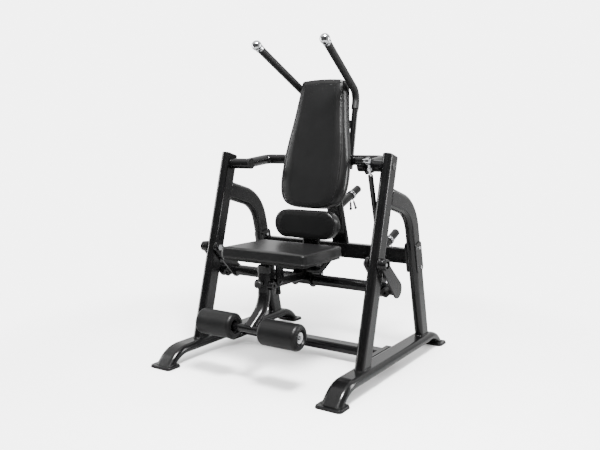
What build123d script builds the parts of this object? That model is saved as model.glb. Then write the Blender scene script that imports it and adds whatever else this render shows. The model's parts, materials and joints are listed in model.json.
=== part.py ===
"""Plate-loaded abdominal crunch machine: welded side frames, a counterweighted upper swing with
handles and back pad, a seat cradle with leg rollers, and the push rod that links the two.

Frame: millimetres, +Z up, -Y to the front (the way the user faces), +X to the right as seen from
the front. The origin is on the floor at the centre of the four feet.
"""
import os
from math import atan2, cos, degrees, hypot, radians, sin, tan

from build123d import *

os.makedirs("parts", exist_ok=True)

# ---------------------------------------------------------------- stock sizes
TUBE_DEEP = 115.0        # long side of the flat-oval frame tube
TUBE_THIN = 50.0         # short side of the mast's and the lumbar post's flat-oval tube
FRAME_THIN = 56.0        # short side of the uprights' flat-oval tube
LEG_THIN = 54.0          # the rear leg is a little slimmer, so its weld line sits on the upright
WALL = 3.0               # tube wall
PLATE = 10.0             # bracket and flange plate
RUN_GAP = 0.05           # radial clearance of every turning or sliding fit
SET_GAP = 0.1            # radial clearance of a sleeve that is glued or pressed on
REST_GAP = 0.3           # clearance between bodies that rest on each other

# ---------------------------------------------------------------- side frames
FRAME_X = 548.0          # centre plane of each side frame
RAIL_Z = 80.0            # centre line of the base rail
RAIL_HIGH = 52.0
RAIL_BEND_Y = 562.0      # where the rail's end turns down
RAIL_BEND_R = 170.0
RAIL_DROP = 100.0        # reach of the sloping end, before it is cut at the foot
RAIL_TOP = RAIL_Z + RAIL_HIGH / 2
FOOT_Y = 634.0
FOOT_X = 144.0
FOOT_LONG = 100.0
RUBBER_THICK = 8.0
FOOT_THICK = 8.0
FOOT_TOP = RUBBER_THICK + FOOT_THICK

LEAN = 15.0              # both legs of each side frame lean by this angle, in degrees
UPRIGHT_Y = -325.0       # upright centre line at the rail's top
UPRIGHT_TOP_Z = 1193.0
REAR_LEG_Y = 449.0       # rear leg centre line at the rail's top
TOP_RUN_POINT = (118.0, 928.0)   # a point on the centre line of the rear leg's top run
REAR_BEND_R = 227.0
INNER_X = FRAME_X - FRAME_THIN / 2
OUTER_X = FRAME_X + FRAME_THIN / 2

CROSSBAR_Y = 45.0
CROSSBAR_Z = 72.0
CROSSBAR_DEEP = 110.0
CROSSBAR_HIGH = 54.0
CROSSBAR_END = 469.0
FLANGE_LOW_Y = -124.0
FLANGE_HIGH_Y = 130.0
FLANGE_HIGH = 62.0
FLANGE_BOLT_Y = (-98.0, -42.0, 114.0)

BEAM_Y = 330.0
BEAM_Z = 600.0
BEAM_DEEP = 60.0
BEAM_HIGH = 90.0
BEAM_END = INNER_X - 12.0
BEAM_PLATE_LONG = 184.0
BEAM_PLATE_WIDE = 84.0
BEAM_BOLT_REACH = 62.0   # from the beam's centre along the leg to each bolt

# ---------------------------------------------------------------- pivots
TOP_PIVOT = (-47.0, 1140.0)
TOP_SHAFT_R = 15.0
SEAT_PIVOT = (-205.0, 636.0)
SEAT_SHAFT_R = 12.5
SLEEVE_R = 32.0
SLEEVE_IN = 376.0
SLEEVE_OUT = INNER_X - 3.0
BUSH_R = 20.0

# ---------------------------------------------------------------- upper swing
YOKE_R = 30.0
YOKE_BACK = (178.0, 1165.0)
YOKE_ARM_X = 410.0
YOKE_BEND_R = 45.0
MAST_LEAN = 18.5
MAST_POINT = (310.0, 925.0)
MAST_LOW_Z = 572.0
MAST_HIGH_Z = 1190.0
HORN_R = 24.75
HORN_WALL = 4.0
LOAD_HORN_TILT = 21.5
LOAD_HORN_ROOT = (331.0, 846.0)
LOAD_HORN_END = 320.0
STORE_HORN_X = 300.0
STORE_HORN_TILT = 22.5
STORE_HORN_ROOT = (BEAM_Y + BEAM_DEEP / 2, 603.0)
STORE_HORN_END = 246.0
HORN_FLANGE_R = 44.0
GROOVE_BACK = 86.0       # from a horn's open end to the start of its plate-depth groove
GROOVE_WIDE = 4.0
GROOVE_DEEP = 0.75

HANDLE_R = 18.0
GRIP_R = 22.5
BALL_R = 29.0
HANDLE_FOOT = (190.0, 178.0, 1165.0)
HANDLE_BEND = (175.0, 273.0, 1560.0)
HANDLE_TIP = (222.0, -150.0, 1796.0)
HANDLE_BEND_R = 75.0
HANDLE_TAIL = -0.13      # the tube pokes out below the yoke by this share of its lower run
GRIP_START = 0.76        # share of the lower run below the grip

PAD_LEAN = 13.2
PAD_FOOT = (0.0, -6.0, 909.0)    # the height up the back pad's face is measured from here
PAD_LONG = 756.0
PAD_ARCH = 8.0           # rise of the arched top
PAD_DROP = 19.0          # reach of the round foot below the pad's origin
PAD_TOP_HALF = 148.0
PAD_WAIST = (190.0, 455.0)
PAD_WIDEST = (226.0, 170.0)
PAD_CORNER = (190.0, 22.0)
PAD_TOP_CORNER_R = 16.0
CUSHION_THICK = 60.0
BOARD_THICK = 18.0
BOARD_GAP = 2.0
PAD_BACK = CUSHION_THICK + BOARD_THICK + BOARD_GAP

# ---------------------------------------------------------------- push rod
LINK_X = 480.0
LINK_TOP = (-153.0, 1169.0)
LINK_LOW = (75.0, 416.0)
ROD_R = 14.0
EYE_R = 21.0
EYE_THICK = 18.0
LINK_BOLT_R = 8.0
LOW_EYE_PLAY = 5.4       # the lower eye is open: the rod follows at a constant ratio of the swing

# ---------------------------------------------------------------- seat cradle
CROSS_TUBE = (-25.0, 470.0)
CROSS_TUBE_R = 32.5
ARM_OUT_X = 598.0
ARM_END = (-35.0, 475.0)
ARM_R = 49.0
ARM_TOP_R = 32.0
INNER_ARM_X = 503.0
INNER_ARM_THICK = 12.0
HUB_R = 33.0
CENTRE_BEAM_Z = 500.0
CENTRE_BEAM_FRONT = -360.0
CENTRE_BEAM_WIDE = 60.0
CENTRE_BEAM_HIGH = 50.0
SEAT_HALF_X = 279.0
SEAT_FRONT = -467.0
SEAT_BACK = -60.0
SEAT_LOW = 630.0
SEAT_HIGH = 690.0
SEAT_BOARD_THICK = 10.0
SUPPORT_Y = -92.0
SUPPORT_R = 19.0
LUMBAR_FACE_Y = -38.0
LUMBAR_Z = 791.0
LUMBAR_WIDE = 432.0
LUMBAR_HIGH = 165.0
LUMBAR_THICK = 55.0
LUMBAR_BOARD = 10.0
POST_Y = 52.0
POST_LOW_Z = 452.0
POST_HIGH_Z = 862.0

# ---------------------------------------------------------------- leg carriage
SLIDE_WIDE = 50.0
SLIDE_HIGH = 40.0
SLIDE_BACK = -190.0
LEG_ARM_WIDE = 70.0
LEG_ARM_DEEP = 50.0
LEG_ARM_Y = -431.0
LEG_ARM_TOP = 570.0
LEG_CAP_HIGH = 42.0
LOCK_KNOB_Z = 512.0
LOCK_KNOB_R = 21.0
LEG_BEND_Z = 388.0
LEG_BEND_R = 150.0
KNUCKLE = (-420.0, 500.0)
KNUCKLE_R = 25.0
ROLLER_AXIS = (-566.0, 290.0)
AXLE_R = 21.0
ROLLER_IN = 88.0
ROLLER_OUT = 326.0
ROLLER_R = 70.0
ROLLER_CORE_R = 26.0
KNOB_Y = -300.0

SIDES = (("left", -1), ("right", 1))


# ---------------------------------------------------------------- helpers
def across(x):
    """Plane at this X whose local axes are Y and Z; extruding goes towards +X."""
    return Plane(origin=(x, 0, 0), x_dir=(0, 1, 0), z_dir=(1, 0, 0))


def leaning(origin, lean):
    """Plane across a member that leans back by this angle; local x is X, and z runs up it."""
    return Plane(origin=origin, x_dir=(1, 0, 0), z_dir=(0, sin(radians(lean)), cos(radians(lean))))


def leg_y(foot_y, z, lean):
    """Y of a leaning member's centre line at height z."""
    return foot_y + (z - RAIL_TOP) * tan(radians(lean))


def disc(point, x_from, x_to, radius, hole=0.0):
    """Round boss or washer about an X axis through point = (y, z)."""
    with BuildPart() as boss:
        with BuildSketch(across(x_from)):
            with Locations(point):
                Circle(radius)
                if hole:
                    Circle(hole, mode=Mode.SUBTRACT)
        extrude(amount=x_to - x_from)
    return boss.part


def hex_bolt(plane, shank_r, shank_long, head_r=None, head_thick=None):
    """Hexagon bolt: head on the plane's +Z side, shank on its -Z side."""
    head_r = head_r or shank_r * 1.8
    head_thick = head_thick or shank_r * 1.3
    with BuildPart() as bolt:
        with BuildSketch(plane):
            RegularPolygon(head_r, 6)
        extrude(amount=head_thick)
        with BuildSketch(plane):
            Circle(shank_r)
        extrude(amount=-shank_long)
    return bolt.part


def both(part):
    """A right-hand part together with its mirror image on the left."""
    return Compound(children=[*part.solids(), *mirror(part, about=Plane.YZ).solids()])


def save(name, part):
    """Label a finished piece and write it."""
    part.label = name
    export_step(part, f"parts/{name}.step")


def save_pair(name, right_part):
    """Write a right-hand piece and its mirrored left-hand twin as two nodes."""
    left_part = mirror(right_part, about=Plane.YZ)
    save(f"{name}_right", right_part)
    save(f"{name}_left", left_part)


# ---------------------------------------------------------------- base rails and feet
def rail_path(x):
    """Level run with both ends turned down 45 degrees to the feet."""
    end_y = RAIL_BEND_Y + RAIL_DROP
    with BuildLine(across(x)) as path:
        FilletPolyline(
            (-end_y, RAIL_Z - RAIL_DROP),
            (-RAIL_BEND_Y, RAIL_Z),
            (RAIL_BEND_Y, RAIL_Z),
            (end_y, RAIL_Z - RAIL_DROP),
            radius=RAIL_BEND_R,
        )
    return path.wire()


def flat_oval_sweep(path, wide, thin, hollow=True, turn=0):
    """Flat-oval tube along a path that lies in a YZ plane; turn 90 sets its long side in that plane."""
    start = Plane(origin=path @ 0, x_dir=(1, 0, 0), z_dir=path % 0)
    with BuildPart() as tube:
        with BuildSketch(start):
            SlotOverall(wide, thin, rotation=turn)
            if hollow:
                SlotOverall(wide - 2 * WALL, thin - 2 * WALL, rotation=turn, mode=Mode.SUBTRACT)
        sweep(path=path)
    return tube.part


with BuildPart() as base_rail:
    add(flat_oval_sweep(rail_path(FRAME_X), TUBE_DEEP, RAIL_HIGH))
    split(bisect_by=Plane.XY.offset(FOOT_TOP), keep=Keep.TOP)
save_pair("base_rail", base_rail.part)

rail_envelope = flat_oval_sweep(rail_path(FRAME_X), TUBE_DEEP, RAIL_HIGH, hollow=False)

with BuildPart() as foot_plates:
    with BuildSketch(Plane.XY.offset(RUBBER_THICK)):
        with GridLocations(2 * FRAME_X, 2 * FOOT_Y, 2, 2):
            RectangleRounded(FOOT_X, FOOT_LONG, 18)
    extrude(amount=FOOT_THICK)
    fillet(foot_plates.edges().group_by(Axis.Z)[-1], 2.5)
save("foot_plates", foot_plates.part)

with BuildPart() as foot_rubbers:
    with BuildSketch():
        with GridLocations(2 * FRAME_X, 2 * FOOT_Y, 2, 2):
            RectangleRounded(FOOT_X + 6, FOOT_LONG + 6, 21)
    extrude(amount=RUBBER_THICK)
    chamfer(foot_rubbers.edges().group_by(Axis.Z)[0], 1.5)
save("foot_rubbers", foot_rubbers.part)


# ---------------------------------------------------------------- uprights and rear legs
UPRIGHT_LONG = (UPRIGHT_TOP_Z - RAIL_TOP) / cos(radians(LEAN))
UPRIGHT_FOOT = leaning((FRAME_X, UPRIGHT_Y - 40 * tan(radians(LEAN)), RAIL_TOP - 40), LEAN)
UPRIGHT_RUN = UPRIGHT_LONG + 40 / cos(radians(LEAN))


def upright_solid(hollow):
    """Leaning flat-oval post standing on the rail, cut square at its top."""
    with BuildPart() as post:
        with BuildSketch(UPRIGHT_FOOT):
            SlotOverall(TUBE_DEEP, FRAME_THIN, rotation=90)
            if hollow:
                SlotOverall(TUBE_DEEP - 2 * WALL, FRAME_THIN - 2 * WALL, rotation=90, mode=Mode.SUBTRACT)
        extrude(amount=UPRIGHT_RUN)
        split(bisect_by=Plane.XY.offset(RAIL_TOP), keep=Keep.TOP)
    return post.part


RECESS_R = 18.0
with BuildPart() as upright:
    add(upright_solid(hollow=True))
    with BuildSketch(across(INNER_X - 5)):
        with Locations(TOP_PIVOT):
            Circle(TOP_SHAFT_R)
        with Locations(SEAT_PIVOT):
            Circle(SEAT_SHAFT_R)
    extrude(amount=FRAME_THIN + 10, mode=Mode.SUBTRACT)
    with BuildSketch(across(FRAME_X)):
        with Locations(TOP_PIVOT):
            Circle(RECESS_R)
    extrude(amount=FRAME_THIN, mode=Mode.SUBTRACT)
save_pair("upright", upright.part)

CAP_THICK = 7.0
CAP_BEVEL = 4.0


def end_plug(plane, wide, thin, turn=0):
    """Flat-oval end plug that stands on a tube's cut end, with a bevelled rim."""
    with BuildPart() as plug:
        with BuildSketch(plane):
            SlotOverall(wide, thin, rotation=turn)
        extrude(amount=CAP_THICK - CAP_BEVEL)
        with BuildSketch(plane.offset(CAP_THICK - CAP_BEVEL)):
            SlotOverall(wide, thin, rotation=turn)
        with BuildSketch(plane.offset(CAP_THICK)):
            SlotOverall(wide - 2 * CAP_BEVEL, thin - 2 * CAP_BEVEL, rotation=turn)
        loft()
    return plug.part


upright_cap = end_plug(UPRIGHT_FOOT.offset(UPRIGHT_RUN), TUBE_DEEP, FRAME_THIN, turn=90)


def rear_leg_path():
    """Up the leaning leg, round the shoulder and forward into the upright."""
    slope = tan(radians(LEAN))
    foot_z = RAIL_Z
    foot = (leg_y(REAR_LEG_Y, foot_z, -LEAN), foot_z)
    top_y, top_z = TOP_RUN_POINT
    level_y = REAR_LEG_Y + RAIL_TOP * slope
    bend_z = (top_z - slope * (level_y - top_y)) / (1 - slope**2)
    bend = (level_y - slope * bend_z, bend_z)
    end_z = (top_z + slope * (top_y - UPRIGHT_Y + RAIL_TOP * slope)) / (1 + slope**2)
    end = (leg_y(UPRIGHT_Y, end_z, LEAN), end_z)
    with BuildLine(across(FRAME_X)) as path:
        FilletPolyline(foot, bend, end, radius=REAR_BEND_R)
    return path.wire()


with BuildPart() as rear_leg:
    add(flat_oval_sweep(rear_leg_path(), TUBE_DEEP, LEG_THIN, turn=90))
    split(bisect_by=Plane.XY.offset(RAIL_TOP), keep=Keep.TOP)
    add(upright_solid(hollow=False), mode=Mode.SUBTRACT)
save_pair("rear_leg", rear_leg.part)

# ---------------------------------------------------------------- floor crossbar
with BuildPart() as floor_crossbar:
    with BuildSketch(across(-CROSSBAR_END)):
        with Locations((CROSSBAR_Y, CROSSBAR_Z)):
            SlotOverall(CROSSBAR_DEEP, CROSSBAR_HIGH)
            SlotOverall(CROSSBAR_DEEP - 2 * WALL, CROSSBAR_HIGH - 2 * WALL, mode=Mode.SUBTRACT)
    extrude(amount=2 * CROSSBAR_END)
save("floor_crossbar", floor_crossbar.part)

FLANGE_MID_Y = (FLANGE_LOW_Y + FLANGE_HIGH_Y) / 2
FLANGE_WIDE = FLANGE_HIGH_Y - FLANGE_LOW_Y
FLANGE_BOLT_R = 6.0


def crossbar_flange(x_from, x_to):
    """Upright end plate with its bolt holes."""
    with BuildPart() as flange:
        with BuildSketch(across(x_from)):
            with Locations((FLANGE_MID_Y, CROSSBAR_Z)):
                RectangleRounded(FLANGE_WIDE, FLANGE_HIGH, 12)
            with Locations(*[(y, CROSSBAR_Z) for y in FLANGE_BOLT_Y]):
                Circle(FLANGE_BOLT_R, mode=Mode.SUBTRACT)
        extrude(amount=x_to - x_from)
    return flange.part


RAIL_PLATE_X = CROSSBAR_END + PLATE
crossbar_plate = crossbar_flange(CROSSBAR_END, RAIL_PLATE_X)
with BuildPart() as rail_plate:
    add(crossbar_flange(RAIL_PLATE_X, RAIL_PLATE_X + PLATE + 8))
    add(rail_envelope, mode=Mode.SUBTRACT)


# ---------------------------------------------------------------- rear beam
def beam_plate(x_from, x_to):
    """Rounded plate lying along the leaning rear leg, with two bolt holes."""
    middle_y = leg_y(REAR_LEG_Y, BEAM_Z, -LEAN)
    with BuildPart() as plate:
        with BuildSketch(across(x_from)):
            with Locations(Location((middle_y, BEAM_Z, 0), (0, 0, LEAN))):
                RectangleRounded(BEAM_PLATE_WIDE, BEAM_PLATE_LONG, 22)
                with Locations((0, -BEAM_BOLT_REACH), (0, BEAM_BOLT_REACH)):
                    Circle(FLANGE_BOLT_R, mode=Mode.SUBTRACT)
        extrude(amount=x_to - x_from)
    return plate.part


with BuildPart() as rear_beam:
    with BuildSketch(across(-BEAM_END)):
        with Locations((BEAM_Y, BEAM_Z)):
            RectangleRounded(BEAM_DEEP, BEAM_HIGH, 8)
            RectangleRounded(BEAM_DEEP - 2 * WALL, BEAM_HIGH - 2 * WALL, 5, mode=Mode.SUBTRACT)
    extrude(amount=2 * BEAM_END)
save("rear_beam", rear_beam.part)

LEG_OUT_X = FRAME_X + LEG_THIN / 2
LEG_IN_X = FRAME_X - LEG_THIN / 2
CLAMP_THICK = 5.0
inner_beam_plate = beam_plate(BEAM_END, LEG_IN_X)
outer_beam_plate = beam_plate(LEG_OUT_X, LEG_OUT_X + CLAMP_THICK)
joint_plates = Compound(children=[
    *both(crossbar_plate).solids(),
    *both(rail_plate.part).solids(),
    *both(inner_beam_plate).solids(),
    *both(outer_beam_plate).solids(),
])
save("frame_joint_plates", joint_plates)


# ---------------------------------------------------------------- horns
def tilted(root, tilt, x=0.0):
    """Plane at a horn's root; its z axis points out along the horn, up to the rear."""
    direction = (0, cos(radians(tilt)), sin(radians(tilt)))
    return Plane(origin=(x, *root), x_dir=(1, 0, 0), z_dir=direction)


def horn(root_plane, length, keep_out):
    """Weight horn: tube with a round flange at its root, cut where it meets its carrier.

    A shallow groove outside the collar marks how far a plate goes on.
    """
    with BuildPart() as peg:
        with BuildSketch(root_plane.offset(-30)):
            Circle(HORN_R)
        extrude(amount=length + 30)
        with BuildSketch(root_plane.offset(-30)):
            Circle(HORN_FLANGE_R)
        extrude(amount=30 + 12)
        fillet(peg.edges().filter_by(GeomType.CIRCLE).sort_by(Axis.Y)[-1], 2)
        with BuildSketch(root_plane.offset(24)):
            Circle(HORN_R - HORN_WALL)
        extrude(amount=length, mode=Mode.SUBTRACT)
        with BuildSketch(root_plane.offset(length - GROOVE_BACK)):
            Circle(HORN_R + 1)
            Circle(HORN_R - GROOVE_DEEP, mode=Mode.SUBTRACT)
        extrude(amount=GROOVE_WIDE, mode=Mode.SUBTRACT)
        add(keep_out, mode=Mode.SUBTRACT)
    return peg.part


def horn_cap(root_plane, length):
    """Domed end plug set into a horn's open end."""
    with BuildPart() as plug:
        with BuildSketch(root_plane.offset(length)):
            Circle(HORN_R)
        extrude(amount=6)
        fillet(plug.edges().filter_by(GeomType.CIRCLE).sort_by(Axis.Y)[-1], 5)
        with BuildSketch(root_plane.offset(length)):
            Circle(HORN_R - HORN_WALL)
        extrude(amount=-18)
    return plug.part


with BuildPart() as beam_envelope:
    with BuildSketch(across(-BEAM_END)):
        with Locations((BEAM_Y - BEAM_DEEP, BEAM_Z)):
            Rectangle(3 * BEAM_DEEP, 3 * BEAM_HIGH)
    extrude(amount=2 * BEAM_END)

store_plane = tilted(STORE_HORN_ROOT, STORE_HORN_TILT, STORE_HORN_X)
storage_horn = horn(store_plane, STORE_HORN_END, beam_envelope.part)
save_pair("storage_horn", storage_horn)
store_cap = horn_cap(store_plane, STORE_HORN_END)
frame_caps = Compound(children=[*both(upright_cap).solids(), *both(store_cap).solids()])
save("frame_end_caps", frame_caps)


# ---------------------------------------------------------------- frame fasteners
def out_of_x(x, y, z, sign=1):
    """Plane at a bolt head, facing +X or -X."""
    return Plane(origin=(x, y, z), x_dir=(0, 1, 0), z_dir=(sign, 0, 0))


frame_bolts = []
for bolt_y in FLANGE_BOLT_Y:
    frame_bolts.append(hex_bolt(out_of_x(CROSSBAR_END, bolt_y, CROSSBAR_Z, -1), FLANGE_BOLT_R, 16))
for reach in (-BEAM_BOLT_REACH, BEAM_BOLT_REACH):
    bolt_z = BEAM_Z + reach * cos(radians(LEAN))
    bolt_y = leg_y(REAR_LEG_Y, BEAM_Z, -LEAN) - reach * sin(radians(LEAN))
    head = out_of_x(LEG_OUT_X + CLAMP_THICK, bolt_y, bolt_z)
    frame_bolts.append(hex_bolt(head, FLANGE_BOLT_R, CLAMP_THICK))
    tail = out_of_x(BEAM_END, bolt_y, bolt_z, -1)
    frame_bolts.append(hex_bolt(tail, FLANGE_BOLT_R, LEG_IN_X - BEAM_END))
HORN_BOLT_SPREAD = 67.0
for bolt_x in (STORE_HORN_X - HORN_BOLT_SPREAD, STORE_HORN_X + HORN_BOLT_SPREAD):
    head = Plane(origin=(bolt_x, BEAM_Y - BEAM_DEEP / 2, BEAM_Z), x_dir=(1, 0, 0), z_dir=(0, -1, 0))
    with BuildPart() as stud_head:
        with BuildSketch(head):
            RegularPolygon(11, 6)
        extrude(amount=8)
    frame_bolts.append(stud_head.part)
save("frame_bolts", Compound(children=[s for b in frame_bolts for s in both(b).solids()]))

# ---------------------------------------------------------------- pivot shafts and washers
WASHER = INNER_X - SLEEVE_OUT
top_shaft = disc(TOP_PIVOT, SLEEVE_IN + 12, OUTER_X - 9, TOP_SHAFT_R)
with BuildPart() as top_bolt:
    add(top_shaft)
    with BuildSketch(across(OUTER_X - 9)):
        with Locations(TOP_PIVOT):
            RegularPolygon(13, 6)
    extrude(amount=6)
SEAT_SHAFT_IN = INNER_ARM_X - 5
SEAT_SHAFT_OUT = ARM_OUT_X + 14
with BuildPart() as seat_shaft:
    add(disc(SEAT_PIVOT, SEAT_SHAFT_IN, SEAT_SHAFT_OUT, SEAT_SHAFT_R))
    with BuildSketch(across(SEAT_SHAFT_OUT)):
        with Locations(SEAT_PIVOT):
            RegularPolygon(10, 6)
    extrude(amount=7)
    with BuildSketch(across(SEAT_SHAFT_IN - 8)):
        with Locations(SEAT_PIVOT):
            RegularPolygon(19, 6)
    extrude(amount=8)
save("pivot_shafts", Compound(children=[*both(top_bolt.part).solids(), *both(seat_shaft.part).solids()]))

HUB_IN = OUTER_X + 4
PIVOT_CAP_THICK = 3.0
washers = [
    disc(TOP_PIVOT, SLEEVE_OUT + REST_GAP, INNER_X, 28, TOP_SHAFT_R),
    disc(SEAT_PIVOT, INNER_ARM_X + INNER_ARM_THICK + REST_GAP, INNER_X, 30, SEAT_SHAFT_R),
    disc(SEAT_PIVOT, OUTER_X, HUB_IN - REST_GAP, 30, SEAT_SHAFT_R),
    disc(TOP_PIVOT, OUTER_X, OUTER_X + PIVOT_CAP_THICK, RECESS_R + 2),
]
save("pivot_washers", Compound(children=[s for w in washers for s in both(w).solids()]))


# ---------------------------------------------------------------- mast
def mast_plane(z):
    """Plane across the mast where its centre line is at height z."""
    y = MAST_POINT[0] - (z - MAST_POINT[1]) * tan(radians(MAST_LEAN))
    return leaning((0, y, z), -MAST_LEAN)


MAST_LONG = (MAST_HIGH_Z - MAST_LOW_Z) / cos(radians(MAST_LEAN))


def yoke_path():
    """Across behind the pad, then forward along both sides to the pivot housings."""
    mid = Plane(origin=(0, 0, 0), x_dir=(1, 0, 0), z_dir=(0, 0, 1))
    points = [
        (YOKE_ARM_X, *TOP_PIVOT),
        (YOKE_ARM_X, *YOKE_BACK),
        (-YOKE_ARM_X, *YOKE_BACK),
        (-YOKE_ARM_X, *TOP_PIVOT),
    ]
    with BuildLine(mid) as path:
        FilletPolyline(*points, radius=YOKE_BEND_R)
    return path.wire()


def round_sweep(path, radius, inner=0.0):
    """Round bar or tube along a path."""
    start = Plane(origin=path @ 0, z_dir=path % 0)
    with BuildPart() as tube:
        with BuildSketch(start):
            Circle(radius)
            if inner:
                Circle(inner, mode=Mode.SUBTRACT)
        sweep(path=path, transition=Transition.RIGHT)
    return tube.part


housing = disc(TOP_PIVOT, SLEEVE_IN, SLEEVE_OUT, SLEEVE_R, BUSH_R)
housing_envelope = disc(TOP_PIVOT, SLEEVE_IN, SLEEVE_OUT, SLEEVE_R)
with BuildPart() as yoke:
    add(round_sweep(yoke_path(), YOKE_R, YOKE_R - WALL))
    add(both(housing_envelope), mode=Mode.SUBTRACT)
save("yoke", yoke.part)
yoke_envelope = round_sweep(yoke_path(), YOKE_R)
save("pivot_housings", both(housing))
bush = disc(TOP_PIVOT, SLEEVE_IN + 6, SLEEVE_OUT, BUSH_R, TOP_SHAFT_R + RUN_GAP)
save("pivot_bushes", both(bush))

with BuildPart() as mast:
    with BuildSketch(mast_plane(MAST_LOW_Z)):
        SlotOverall(TUBE_DEEP, TUBE_THIN)
        SlotOverall(TUBE_DEEP - 2 * WALL, TUBE_THIN - 2 * WALL, mode=Mode.SUBTRACT)
    extrude(amount=MAST_LONG)
    add(yoke_envelope, mode=Mode.SUBTRACT)
save("mast", mast.part)

with BuildPart() as mast_envelope:
    with BuildSketch(mast_plane(MAST_LOW_Z)):
        SlotOverall(TUBE_DEEP, TUBE_THIN)
    extrude(amount=MAST_LONG)


load_plane = tilted(LOAD_HORN_ROOT, LOAD_HORN_TILT)
load_horn = horn(load_plane.offset(24), LOAD_HORN_END - 24, mast_envelope.part)
save("load_horn", load_horn.solids().sort_by(Axis.Y)[-1])
with BuildPart() as top_mast_cap:
    add(end_plug(mast_plane(MAST_LOW_Z).offset(MAST_LONG), TUBE_DEEP, TUBE_THIN))
    add(yoke_envelope, mode=Mode.SUBTRACT)
foot = mast_plane(MAST_LOW_Z)
mast_foot = Plane(origin=foot.origin, x_dir=foot.x_dir, z_dir=foot.z_dir * -1)
swing_caps = [
    top_mast_cap.part,
    end_plug(mast_foot, TUBE_DEEP, TUBE_THIN),
    horn_cap(load_plane, LOAD_HORN_END),
    both(disc(TOP_PIVOT, SLEEVE_IN - CAP_THICK, SLEEVE_IN, SLEEVE_R)),
]
save("swing_end_caps", Compound(children=[s for c in swing_caps for s in c.solids()]))

# ---------------------------------------------------------------- rest bumper on the rear beam
BUMPER_R = 24.0
mast_at_beam = MAST_POINT[0] - (BEAM_Z - MAST_POINT[1]) * tan(radians(MAST_LEAN))
with BuildPart() as mast_clearance:
    with BuildSketch(mast_plane(MAST_LOW_Z)):
        Rectangle(TUBE_DEEP, TUBE_THIN + 2 * REST_GAP)
    extrude(amount=MAST_LONG)
with BuildPart() as rest_bumper:
    face = Plane(origin=(0, BEAM_Y + BEAM_DEEP / 2, BEAM_Z), x_dir=(1, 0, 0), z_dir=(0, 1, 0))
    with BuildSketch(face):
        Circle(BUMPER_R)
    extrude(amount=mast_at_beam - BEAM_Y - BEAM_DEEP / 2)
    add(mast_clearance.part, mode=Mode.SUBTRACT)
save("rest_bumper", rest_bumper.solids().sort_by(Axis.Y)[0])


# ---------------------------------------------------------------- handles
def handle_points():
    """Foot on the yoke, bend above the pad, tip ahead of the pad."""
    return Vector(*HANDLE_FOOT), Vector(*HANDLE_BEND), Vector(*HANDLE_TIP)


def handle_path(start_share):
    """Path of the handle from this share of its lower run to its tip."""
    foot, bend, tip = handle_points()
    start = foot + (bend - foot) * start_share
    with BuildLine() as path:
        FilletPolyline(start, bend, tip, radius=HANDLE_BEND_R)
    return path.wire()


with BuildPart() as handle_tube:
    add(round_sweep(handle_path(HANDLE_TAIL), HANDLE_R, HANDLE_R - WALL))
    add(yoke_envelope, mode=Mode.SUBTRACT)
handle_pieces = handle_tube.solids().sort_by(Axis.Z)
save_pair("handle_tube", Compound(children=[handle_pieces[0], handle_pieces[-1]]))
handle_envelope = round_sweep(handle_path(HANDLE_TAIL), HANDLE_R + SET_GAP)
grip_right = round_sweep(handle_path(GRIP_START), GRIP_R, HANDLE_R + SET_GAP)
save("handle_grips", both(grip_right))

tip_point, tip_direction = Vector(*HANDLE_TIP), (Vector(*HANDLE_TIP) - Vector(*HANDLE_BEND)).normalized()
with BuildPart() as handle_ball:
    with BuildSketch(Plane(origin=tip_point, z_dir=tip_direction)):
        Circle(GRIP_R + 2)
    extrude(amount=12)
    with Locations(tip_point + tip_direction * (BALL_R + 5)):
        Sphere(BALL_R)
    with Locations(Plane(origin=tip_point, z_dir=tip_direction)):
        Cylinder(BALL_R + 10, 60, align=(Align.CENTER, Align.CENTER, Align.MAX), mode=Mode.SUBTRACT)
save("handle_balls", both(handle_ball.part))


# ---------------------------------------------------------------- back pad, board and brackets
def pad_plane(depth):
    """Plane of the back pad at this depth behind its front face; local x is X and y runs up it."""
    lean = radians(PAD_LEAN)
    front = Vector(0, -cos(lean), sin(lean))
    return Plane(origin=Vector(*PAD_FOOT) - front * depth, x_dir=(1, 0, 0), z_dir=front)


def pad_outline(grow=0.0):
    """Bottle-shaped outline: narrow arched top, waist, broad lower part and round foot."""
    top = (PAD_TOP_HALF + grow, PAD_LONG - PAD_ARCH + grow)
    waist = (PAD_WAIST[0] + grow, PAD_WAIST[1])
    widest = (PAD_WIDEST[0] + grow, PAD_WIDEST[1])
    corner = (PAD_CORNER[0] + grow, PAD_CORNER[1] - grow)
    with BuildSketch(mode=Mode.PRIVATE) as outline:
        with BuildLine():
            Spline((0, -PAD_DROP - grow), corner, widest, tangents=[(1, 0), (0, 1)])
            Spline(widest, waist, top, tangents=[(0, 1), (-0.14, 1)])
            ThreePointArc(top, (top[0] / 2, top[1] + PAD_ARCH * 3 / 4), (0, top[1] + PAD_ARCH))
            mirror(about=Plane.YZ)
        make_face()
        corners = [v for v in outline.vertices() if v.Y > PAD_WAIST[1] and abs(v.X) > PAD_TOP_HALF / 2]
        fillet(corners, PAD_TOP_CORNER_R)
    return outline.sketch


with BuildPart() as back_pad:
    with BuildSketch(pad_plane(CUSHION_THICK)):
        add(pad_outline())
    extrude(amount=CUSHION_THICK)
    fillet(back_pad.faces().filter_by(GeomType.PLANE).sort_by(Axis.Y)[0].edges(), 10)
save("back_pad", back_pad.part)

with BuildPart() as back_board:
    with BuildSketch(pad_plane(CUSHION_THICK + BOARD_GAP + BOARD_THICK)):
        add(pad_outline(-3))
    extrude(amount=BOARD_THICK)
    fillet(back_board.faces().filter_by(GeomType.PLANE).sort_by(Axis.Y)[-1].edges(), 4)
save("back_board", back_board.part)

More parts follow.
